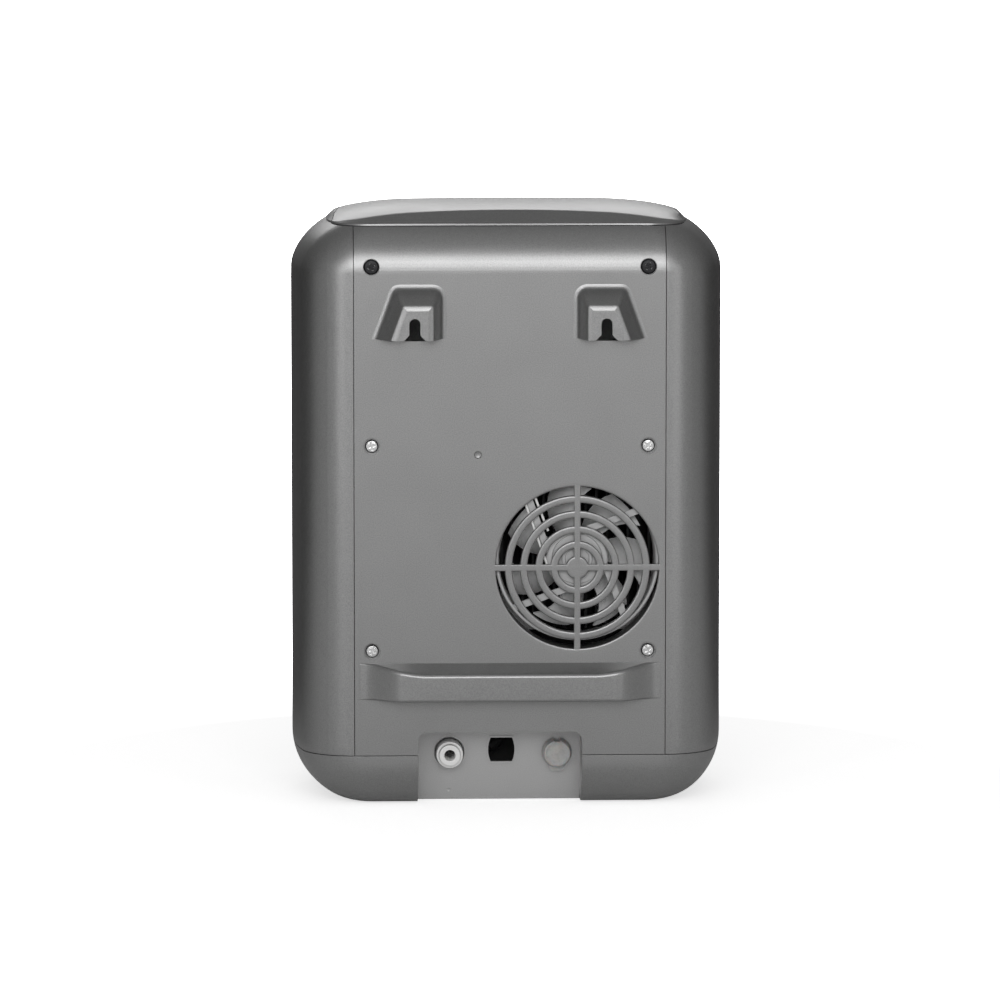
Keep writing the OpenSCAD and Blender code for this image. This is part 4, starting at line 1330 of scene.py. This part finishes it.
@dataclass
class RearPanel(Assembly):
    """The rear panel with its wall hooks, spacer bar, grille and counterbores."""

    y: float = 78.0
    panel_t: float = 2.8
    stand_off: float = 15.0
    wall: float = 2.4
    pitch: float = 116.0
    hook_z: float = 287.5
    tail: float = 12.0
    slant: float = math.radians(20)
    slot_r: float = 3.35
    slot_rise: float = 10.05
    slot_mouth: float = 8.5
    bar_z: float = 66.9
    bar_top: float = 88.9
    bar_hw: float = 91.6
    bar_ramp: float = 27.6
    bar_sweep: float = 42.0
    bar_drop: float = 5.2
    fan: tuple = (-41.0, 147.3)
    grille_r: float = 49.7
    grille_edge: float = 53.0
    hub_r: float = 7.0
    lip_t: float = 1.5
    lip_d: float = 15.0
    lip_drop: float = 14.0
    rings: int = 4
    ring_w: float = 4.5
    ring_pitch: float = 9.3
    spoke_w: float = 4.1
    screw_x: float = 84.0
    screw_zs: tuple = (331.0, 222.0, 96.5)
    cbore_r: float = 5.1
    cbore_t: float = 2.3
    gate: Point = (19.5, 78.9, 216.6)

    def hook_ring(self, t: float, grow: float) -> Outline:
        """Outline of a hook, from its inner lower end over its top to its outer lower end.

        Args:
            t: 0 at the panel, 1 at the plateau.
            grow: How far it is moved outwards.

        Returns:
            Points as place outwards from the slot and height over the lower edge.
        """
        left, top, right = -18.4 + 7.2 * t, 31.9 - 10.9 * t, 13.1 - 6.4 * t
        r0, r1 = 7.5 - 6.0 * t, 5.5 - 4.0 * t
        c, s = math.cos(self.slant), math.sin(self.slant)
        a, b = max(0.2, r0 + grow), max(0.2, r1 + grow)
        end = right + (grow + (self.tail + top) * s) / c
        return ([(left - grow, -self.tail)]
                + arc(left - grow + a, top + grow - a, a, 180, 90)
                + arc(right + (grow - b) * (1 - s) / c, top + grow - b, b, 90, math.degrees(self.slant))
                + [(end, -self.tail)])

    def hook(self, side: int) -> Object:
        """Builds a hanging hook, pressed out of the panel and open below.

        Each of its rows has a place past the panel, a share of the way to the plateau and a move outwards.

        Args:
            side: 1 or -1.

        Returns:
            The hook.
        """
        rows = [(-0.05, 0, 1.3), (0.1, 0, 0.6), (0.25, 0, 0), (0.43, 0, -0.6), (0.65, 0, -1.2),
                (1.1, 0.01, -1.65), (2.4, 0.09, -1.7), (4.5, 0.24, -1.1), (8, 0.5, -0.3), (12.2, 0.84, 0.15),
                (13.6, 0.93, 0), (14.05, 0.97, 0.02), (14.25, 1, 0), (14.45, 1, -0.6), (14.63, 1, -1.2),
                (14.78, 1, -1.8), (14.9, 1, -2.4), (14.97, 1, -2.9), (self.stand_off, 1, -3.3)]
        rings = [self.hook_ring(t, grow) for _, t, grow in rows]
        plateau = (self.y + self.stand_off - 0.01) * MM

        def place(column: int, row: int) -> Point:
            """Point of a ring."""
            x, z = rings[row][column]
            return side * (self.pitch / 2 + x), self.y + rows[row][0], self.hook_z + z

        piece = Bench.sheet("hook", range(len(rings[0])), range(len(rows)), place)
        with Bench.selecting(piece, Part.VERTEX, lambda vertex: vertex.co.y > plateau):
            bpy.ops.mesh.edge_face_add()
        Bench.face_rear(Bench.weld(piece, 0.005))
        Bench.split(piece, (0, 0, self.hook_z), (0, 0, -1))
        Bench.thicken(piece, self.wall)
        x, z, r = side * self.pitch / 2, self.hook_z, self.slot_r
        slot = ([(x - self.slot_mouth, z - 2), (x + self.slot_mouth, z - 2), (x + r, z + 3.4)]
                + arc(x, z + self.slot_rise, r, 0, 180, 12) + [(x - r, z + 3.4)])
        Bench.carve(piece, [Bench.outline("slot", slot, self.y + 8, self.y + 20)])
        return Bench.soften(piece, 0.35, 2, 55)

    def bar(self) -> Object:
        """Builds the spacer bar, pressed out of the panel, with ends that run out into it.

        Returns:
            The bar.
        """
        places = [self.bar_hw * (2 * k / 96 - 1) for k in range(97)]
        slope = math.atan2(self.bar_drop, self.stand_off)
        steps = 5

        def section(x: float) -> Outline:
            """Section of the bar.

            Args:
                x: Place across.

            Returns:
                Its points in y and z.
            """
            share = min(1.0, (self.bar_hw - abs(x)) / self.bar_ramp)
            k = 0.06 + 0.47 * (1 - math.cos(math.pi * share))
            reach = self.stand_off * k
            sweep = (1 - math.cos(math.pi * min(1.0, (self.bar_hw - abs(x)) / self.bar_sweep))) / 2
            front, top = self.y + reach - 0.04 * (1 - k), self.bar_top - self.bar_drop * min(k, sweep)
            low_r, top_r = min(1.7, 0.4 * reach), min(3.0, 0.75 * reach)
            back = math.tan((math.pi / 2 - slope) / 2) * top_r
            lower = [(front - low_r + low_r * math.sin(a), self.bar_z + low_r - low_r * math.cos(a))
                     for a in (math.pi / 2 * j / steps for j in range(steps + 1))]
            upper = [(front - top_r + top_r * math.cos(a), top - back + top_r * math.sin(a))
                     for a in ((math.pi / 2 - slope) * j / steps for j in range(steps + 1))]
            return [(self.y - 1, self.bar_z), (self.y - 0.3, self.bar_z)] + lower + upper + [
                (self.y - 0.3, self.bar_top + 0.1), (self.y - 1, self.bar_top + 0.4)]

        sections = {x: section(x) for x in places}
        piece = Bench.sheet("bar", places, range(len(sections[0.0])), lambda x, j: (x, *sections[x][j]))
        return Bench.thicken(Bench.face_rear(piece), self.wall)

    def ring(self, inner: float, outer: float) -> Object:
        """Builds one ring of the grille with crowned edges, or the hub disc.

        Args:
            inner: Inner radius, 0 for the disc.
            outer: Outer radius.

        Returns:
            The ring or disc.
        """
        x, z = self.fan
        back, front = self.y - self.panel_t, self.y - 0.04
        crown = [(0, 0.75), (0.12, 0.45), (0.4, 0.2), (0.85, 0.06), (1.4, 0)]
        profile = [(inner, back), (outer, back)] + [(outer - step, front - fall) for step, fall in crown]
        if inner:
            profile += [(inner + step, front - fall) for step, fall in crown[::-1]] + [(inner, back)]
        else:
            profile += [(0, front)]
        return Bench.turned("ring", (x, 0, z), profile, sides=128)

    def grille(self) -> Object:
        """Builds the grille: a rim, four rings, a hub disc, crossed spokes and a lip around its lower half.

        Returns:
            The grille.
        """
        x, z = self.fan
        y0 = self.y - self.panel_t
        hole = self.grille_r - 5.5
        rim = Bench.turned("rim", (x, 0, z), [
            (self.grille_r, y0), (self.grille_edge, y0), (self.grille_edge, self.y),
            (self.grille_r + 1.2, self.y), (self.grille_r + 0.6, self.y - 0.08),
            (self.grille_r + 0.2, self.y - 0.3), (self.grille_r, self.y - 0.7), (self.grille_r, y0)], sides=128)
        parts = [rim, self.ring(0, self.hub_r)]
        edges = [hole - k * self.ring_pitch for k in range(self.rings)]
        parts += [self.ring(edge - self.ring_w, edge) for edge in edges]
        half, reach = self.spoke_w / 2, self.grille_r + 1.2
        for across, up, sink in ((half, reach, 0.03), (reach, half, 0.02)):
            spoke = Bench.slab("spoke", (x - across, y0 + 0.05, z - up), (x + across, self.y - sink, z + up))
            parts.append(Bench.soften(spoke, 0.6, 3, 50))
        lip = Bench.turned("lip", (x, 0, z), [
            (self.grille_r, y0 - self.lip_d), (self.grille_r + self.lip_t, y0 - self.lip_d),
            (self.grille_r + self.lip_t, y0 + 0.6), (self.grille_r, y0 + 0.6),
            (self.grille_r, y0 - self.lip_d)], sides=128)
        Bench.split(lip, (x, 0, z - self.lip_drop), (0, 0, 1), fill=True)
        return Bench.join(parts + [lip])

    def build(self, bodywork: Bodywork, form: Object, bay: ConnectionBay) -> None:
        """Fits the whole rear panel.

        Args:
            bodywork: The outer shells.
            form: Their form.
            bay: The recess.
        """
        piece = bodywork.panel(form, front=False)
        x, z = self.fan
        tools = [bay.block(40, 100)]
        for side in (1, -1):
            centre = side * self.pitch / 2
            lo, hi = sorted((centre - side * 15, centre + side * 9))
            foot, sill, head = self.hook_z - 1.5, self.hook_z + 2.4, self.hook_z + 28
            tools.append(Bench.outline("window", [
                (centre - 8, foot), (centre + 8, foot), (centre + 8, sill), (hi, sill),
                (hi, head), (lo, head), (lo, sill), (centre - 8, sill)], 60, 90))
            for height in self.screw_zs:
                at = (side * self.screw_x, self.y - self.cbore_t, height)
                tools.append(Bench.post("cbore", at, Axis.Y, self.cbore_r, 5, 48))
        tools.append(Bench.turned("gate", self.gate, [(0, -2.0), (1.8, -1.8), (2.9, 0), (0, 0)], sides=32))
        Bench.carve(piece, tools)
        Bench.soften(piece, 0.5, 2, 50)
        Bench.carve(piece, [Bench.post("opening", (x, 60, z), Axis.Y, self.grille_edge, 30, 128)])
        piece = Bench.join([piece, self.grille(), self.bar(), self.hook(1), self.hook(-1)])
        self.fit(Bench.smooth(piece, 38), "rear", "shell_grey", "body", "rear_panel")


@dataclass
class Screws(Assembly):
    """Cross-recessed screws of the rear panel. A head is its height and radius."""

    y: float = 76.4
    x: float = 84.0
    zs: tuple = (331.0, 222.0, 96.5)
    pan_head: tuple = (2.0, 4.1)
    flat_head: tuple = (1.4, 4.7)
    cross_reach: float = 2.4
    cross_half: float = 0.6

    def screw(self, x: float, z: float, turn: float, head: tuple[float, float]) -> Object:
        """Builds one screw with a domed head and a cross recess.

        Args:
            x: Place across.
            z: Height of its axis.
            turn: Angle of the cross in radians.
            head: Height and radius of its head.

        Returns:
            The screw.
        """
        height, r = head
        piece = Bench.turned("screw", (x, self.y, z), [
            (0, -8), (1.7, -8), (1.9, -7.4), (1.9, 0), (r - 0.1, 0), (r, 0.15), (r, 0.4),
            (r * 0.9, height * 0.6), (r * 0.8, height * 0.9), (r * 0.5, height * 0.99), (0, height)], sides=48)
        for angle in (turn, turn + math.pi / 2):
            blade = Bench.slab("blade", (-self.cross_reach, -1.0, -self.cross_half),
                               (self.cross_reach, 2.0, self.cross_half))
            Bench.carve(piece, [Bench.put(blade, (x, self.y + height - 0.5, z), angle)])
        return Bench.soften(piece, 0.12, 2, 50)

    def build(self) -> None:
        """Fits the silver panel screws and the black top screws."""
        high, middle, low = self.zs
        silver = [self.screw(side * self.x, z, turn, self.pan_head) for side, z, turn in (
            (1, middle, 0.2), (-1, middle, 0.9), (1, low, 1.2), (-1, low, 0.5))]
        self.fit(Bench.smooth(Bench.join(silver), 35), "screws_silver", "steel", "body", "panel_screws")
        black = [self.screw(side * self.x, high, turn, self.flat_head) for side, turn in ((1, 0.4), (-1, 1.0))]
        self.fit(Bench.smooth(Bench.join(black), 35), "screws_black", "black_steel", "body", "top_screws")


@dataclass
class FanUnit(Assembly):
    """The axial fan behind the grille."""

    x: float = -41.0
    z: float = 152.3
    y0: float = 49.9
    y1: float = 74.9
    size: float = 92.0
    flange_t: float = 5.0
    shroud_r: float = 50.0
    duct_r: float = 47.5
    hub_r: float = 18.0
    hole_pitch: float = 82.5
    struts: tuple = (200, 290, 20, 110)
    blades: int = 7
    blade_r: float = 43.8
    blade_t: float = 1.5
    blade_start: float = 0.306
    blade_pitch: float = 52.0
    blade_twist: float = 22.0
    blade_sweep: float = 0.3
    lead_r: float = 0.75
    lead_sink: float = 0.9
    lead_ends: tuple = (((18.5, -3.0), (31.4, 33.8)), ((17.7, 17.2), (25.7, 38.0)))

    def frame(self) -> None:
        """Fits the round shroud on its square flange, with struts and motor seat."""
        half = self.size / 2
        x, z = self.x, self.z
        corners = round_box(x - half, x + half, z - half, z + half, 5)
        piece = Bench.outline("fan_frame", corners, self.y0, self.y0 + self.flange_t)
        shroud = Bench.turned("shroud", (x, 0, z), [
            (0, self.y0 + 0.1), (self.shroud_r, self.y0 + 0.1), (self.shroud_r, self.y1 - 0.6),
            (self.shroud_r - 0.6, self.y1), (0, self.y1)], sides=128)
        Bench.carve(piece, [shroud], Trim.JOIN)
        duct = Bench.turned("duct", (x, 0, z), [
            (0, self.y0 - 1), (self.duct_r, self.y0 - 1), (self.duct_r, self.y1 - 1.5),
            (self.duct_r + 0.8, self.y1 - 0.4), (self.duct_r + 1.0, self.y1 + 1),
            (0, self.y1 + 1)], sides=128)
        Bench.carve(piece, [duct])
        seat = Bench.turned("seat", (x, 0, z), [
            (0, self.y1 - 3), (self.hub_r + 0.8, self.y1 - 3), (self.hub_r + 0.8, self.y1 - 0.8),
            (self.hub_r, self.y1), (self.hub_r - 2.4, self.y1), (self.hub_r - 3, self.y1 - 1),
            (9.5, self.y1 - 1), (9, self.y1 - 0.3), (7.5, self.y1 - 0.3), (7, self.y1 - 1.2),
            (0, self.y1 - 1.2)])
        parts = [seat]
        for angle in self.struts:
            strut = Bench.slab("strut", (self.hub_r - 8, self.y1 - 3, -self.hub_r + 1),
                               (self.duct_r - 0.6, self.y1 - 0.5, -self.hub_r + 5))
            parts.append(Bench.put(strut, (x, 0, z), math.radians(angle)))
        for part in parts:
            Bench.carve(piece, [part], Trim.JOIN)
        off = self.hole_pitch / 2
        for low, radius in ((self.y0 - 1, 2.2), (self.y0 + self.flange_t, 3.6)):
            Bench.carve(piece, [Bench.post("hole", (x + sx * off, low, z + sz * off), Axis.Y, radius, 22, 32)
                                for sx in (-1, 1) for sz in (-1, 1)])
        Bench.soften(piece, 0.4, 2, 45)
        self.fit(Bench.smooth(piece, 40), "fan_housing", "fan_grey", "body", "fan_frame")

    def rotor(self) -> None:
        """Fits the rotor: a hub cup and swept, twisted blades."""
        y0, y1 = self.y0 + 3, self.y1 - 4
        middle, reach = (y0 + y1) / 2, (y1 - y0) / 2 - 0.6
        hub = Bench.turned("rotor", (self.x, 0, self.z), [
            (0, y0), (self.hub_r - 1.5, y0), (self.hub_r, y0 + 1.5), (self.hub_r, y1 - 0.8),
            (self.hub_r - 0.8, y1), (2.0, y1), (1.5, y1 + 0.4), (1.5, y1 + 2.8), (0, y1 + 2.8)], sides=72)
        blades = []
        for k in range(self.blades):
            start = math.tau * k / self.blades + self.blade_start

            def place(share: float, chord: float, start: float = start) -> Point:
                """Point of a blade.

                Args:
                    share: Share of its length.
                    chord: Place along its chord, from -1 to 1.
                    start: Angle of its root.

                Returns:
                    The point.
                """
                r = self.hub_r - 0.6 + (self.blade_r - self.hub_r) * share
                pitch = math.radians(self.blade_pitch - self.blade_twist * share)
                along = chord * (8.4 + 5.6 * share)
                a = start + self.blade_sweep * share * share + along * math.cos(pitch) / r
                lift = along * math.sin(pitch) * 0.92 + 2.2 * (1 - chord * chord) - 1.1
                y = middle + max(-reach, min(reach, lift))
                return self.x + r * math.cos(a), y, self.z + r * math.sin(a)

            blade = Bench.sheet("blade", [j / 8 for j in range(9)], [j / 6 - 1 for j in range(13)], place)
            blades.append(Bench.modify(blade, "SOLIDIFY", thickness=self.blade_t * MM, offset=0))
        piece = Bench.join([hub] + blades)
        self.fit(Bench.smooth(piece, 45), "fan_blades", "rotor_grey", "rotor", "fan_rotor")

    def leads(self) -> None:
        """Fits the fan's two thin leads, from the motor seat out over the frame."""
        for name, ((x0, z0), (x1, z1)) in zip(("lead_a", "lead_b"), self.lead_ends):
            length = math.hypot(x1 - x0, z1 - z0)
            piece = Bench.post(name, (0, 0, 0), Axis.X, self.lead_r, length, 16)
            Bench.split(piece, (length / 2, 0, 0), (1, 0, 0), drop=False)
            start = (self.x + x0, self.y1 - self.lead_sink, self.z + z0)
            Bench.put(piece, start, -math.atan2(z1 - z0, x1 - x0))
            self.fit(Bench.smooth(piece, 45), name, "white_plastic", "body")

    def build(self) -> None:
        """Fits the whole fan."""
        self.frame()
        self.rotor()
        self.leads()


@dataclass
class Front(Assembly):
    """The front panel, alcove, tray and controls. Openings are x, x, z, z and corner radius."""

    alcove: tuple = (-45, 45, 48, 208, 8)
    window: tuple = (-45, 45, 259, 299, 4)
    rebate: tuple = (-48, 48, 256, 302, 6)
    button_xs: tuple = (-33, -11, 11, 33)
    button_z: float = 242.0
    button_r: float = 6.3
    edges: dict = field(default_factory=lambda: {
        "alcove_liner": ("body", 0.6), "drip_tray": ("tray", 0.5), "drip_grid": ("grid", 0.3),
        "nozzle": ("body", 0.8), "nozzle_tip": ("body", 0.4), "display_lens": ("body", 0.25),
        "button_hot": ("hot_button", 0.35), "button_warm": ("warm_button", 0.35),
        "button_cold": ("cold_button", 0.35), "button_lock": ("lock_button", 0.35),
    })

    def build(self, bodywork: Bodywork, form: Object) -> None:
        """Fits the front panel and refines the pieces that show in it.

        Args:
            bodywork: The outer shells.
            form: Their form.
        """
        y = -bodywork.half_d
        piece = bodywork.panel(form, front=True)
        window = Bench.outline("window", round_box(*self.window), y - 5, y + 12)
        Bench.carve(window, [Bench.outline("rebate", round_box(*self.rebate), y - 5, y + 1.2)], Trim.JOIN)
        tools = [window, Bench.outline("alcove", round_box(*self.alcove), y - 5, y + 12)]
        tools += [Bench.post("hole", (x, y - 5, self.button_z), Axis.Y, self.button_r, 20, 48)
                  for x in self.button_xs]
        Bench.carve(piece, tools)
        Bench.soften(piece, 0.5, 2, 50)
        self.fit(Bench.smooth(piece, 38), "fascia", "fascia_dark", "body", "front_panel")
        for node, (body, edge) in self.edges.items():
            self.refine(node, body, edge)


@dataclass(frozen=True)
class Lamp:
    """A soft rectangular lamp. Angles are in degrees, distance and size in metres and power in watts."""

    name: str
    azimuth: float
    elevation: float
    distance: float
    size: tuple[float, float]
    power: float


@dataclass
class Stage:
    """Floor, lights, world and camera. Its lengths are in metres, and the angles of its room in radians."""

    target: Point = (0.0034, 0.0, 0.1797)
    azimuth: float = 178.0
    elevation: float = 6.8
    distance: float = 4.0
    lens: float = 232.3
    halo: tuple[float, float] = (0.32, 0.3)
    halo_glow: float = 4.3
    dim_from: float = -0.36
    dim_over: float = 0.45
    flag_at: float = 2.3
    room_light: float = 0.512
    lamps: tuple[Lamp, ...] = (
        Lamp("key", 178, 20, 2.6, (1.5, 1.0), 18.2),
        Lamp("left", 150, 10, 2.4, (0.25, 1.0), 3.6),
        Lamp("right", 212, 6, 1.2, (0.25, 0.7), 0.6),
        Lamp("front", 4, 26, 2.6, (1.6, 0.8), 8),
    )

    def place(self, thing: Object, azimuth: float, elevation: float, distance: float) -> None:
        """Adds the camera or a lamp to the scene, turned to the target.

        Args:
            thing: The camera or lamp.
            azimuth: Azimuth in degrees at which the target sees it.
            elevation: Elevation in degrees.
            distance: Distance from the target.
        """
        bpy.context.scene.collection.objects.link(thing)
        a, e = math.radians(azimuth), math.radians(elevation)
        step = Vector((math.sin(a) * math.cos(e), -math.cos(a) * math.cos(e), math.sin(e)))
        thing.location = Vector(self.target) + step * distance
        thing.rotation_euler = (Vector(self.target) - thing.location).to_track_quat("-Z", "Y").to_euler()

    def camera(self) -> None:
        """Adds the camera at the viewing angle."""
        data = bpy.data.cameras.new("camera")
        data.lens = self.lens
        data.sensor_width = 36
        data.clip_end = 60
        camera = bpy.data.objects.new("camera", data)
        self.place(camera, self.azimuth, self.elevation, self.distance)
        bpy.context.scene.camera = camera

    def light(self, lamp: Lamp) -> None:
        """Adds a lamp.

        Args:
            lamp: Its name, place, size and power.
        """
        data = bpy.data.lights.new(lamp.name, "AREA")
        data.shape = "RECTANGLE"
        data.size, data.size_y = lamp.size
        data.energy = lamp.power
        thing = bpy.data.objects.new(lamp.name, data)
        self.place(thing, lamp.azimuth, lamp.elevation, lamp.distance)
        thing.visible_camera = False

    def floor(self) -> None:
        """Adds the pale floor, which keeps the object's shadow.

        The camera alone sees it glow away from the object. Other rays don't see that glow, and for them
        the floor is dark before the front.
        """
        Bench.clear()
        bpy.ops.mesh.primitive_plane_add(size=30)
        floor = bpy.context.object
        floor.name = "floor"
        material = bpy.data.materials.new("floor")
        graph = Graph(material)
        place = graph.node("ShaderNodeTexCoord", out="Object")
        seen = graph.node("ShaderNodeLightPath", out="Is Camera Ray")
        reach = graph.node("ShaderNodeVectorMath", out="Value", settings={"operation": "LENGTH"}, i0=place)
        depth = graph.node("ShaderNodeSeparateXYZ", out="Y", i0=place)
        away = ((reach - self.halo[0]) / self.halo[1]).clamp()
        dim = (1 - seen) * (1 - ((depth - self.dim_from) / self.dim_over).clamp())
        pale, dark = (graph.node("ShaderNodeBsdfDiffuse", Color=(grey, grey, grey)) for grey in (0.97, 0.12))
        ground = graph.node("ShaderNodeMixShader", i0=dim, i1=pale, i2=dark)
        glow = graph.node("ShaderNodeEmission", Strength=self.halo_glow)
        mix = graph.node("ShaderNodeMixShader", i0=seen * (away * 0.85 + 0.15), i1=ground, i2=glow)
        graph.node("ShaderNodeOutputMaterial", Surface=mix)
        floor.data.materials.append(material)

    def world(self) -> None:
        """Lights the scene with a pale room that has a darker ceiling and two dark sides.

        The camera alone sees it plain white. Reflections show the dimmer room.
        """
        world = bpy.data.worlds.new("studio")
        bpy.context.scene.world = world
        graph = Graph(world)
        place = graph.node("ShaderNodeTexCoord", out="Generated")
        x, y, z = (graph.node("ShaderNodeSeparateXYZ", out=axis, i0=place) for axis in "XYZ")
        around = abs(x.math("ARCTAN2", x, y))
        up = z.math("ARCSINE", z)
        flag = (1 - abs(around - self.flag_at).clamp() ** 2.0) * (1 - (up / 0.9).clamp())
        side = (around / 1.7).clamp()
        ceiling = ((up - 0.5) / 0.5).clamp()
        room = (1 - flag * 0.9) * (1 - side * 0.45) * (1 - ceiling * 0.1)
        seen = graph.node("ShaderNodeLightPath", out="Is Camera Ray")
        strength = seen.math("MAXIMUM", seen, room * self.room_light)
        ground = graph.node("ShaderNodeBackground", Color=(1, 1, 1), Strength=strength)
        graph.node("ShaderNodeOutputWorld", Surface=ground)

    def set_up(self) -> None:
        """Builds the whole stage."""
        self.camera()
        self.floor()
        self.world()
        for lamp in self.lamps:
            self.light(lamp)
        bpy.context.scene.view_settings.view_transform = "Standard"


def main() -> None:
    """Builds the stage, the finishes and every sub-assembly."""
    logging.basicConfig(level=logging.INFO, format="%(name)s %(message)s", stream=sys.stdout)
    Stage().set_up()
    paint = Paintshop()
    paint.paint_frame()
    bodywork = Bodywork(paint)
    bay = ConnectionBay(paint)
    form = bodywork.form()
    bodywork.cover(form)
    bodywork.sides(form)
    bodywork.base(form, bay)
    bay.build()
    RearPanel(paint).build(bodywork, form, bay)
    Screws(paint).build()
    FanUnit(paint).build()
    Front(paint).build(bodywork, form)
    bpy.data.objects.remove(form)


if __name__ == "__main__":
    main()
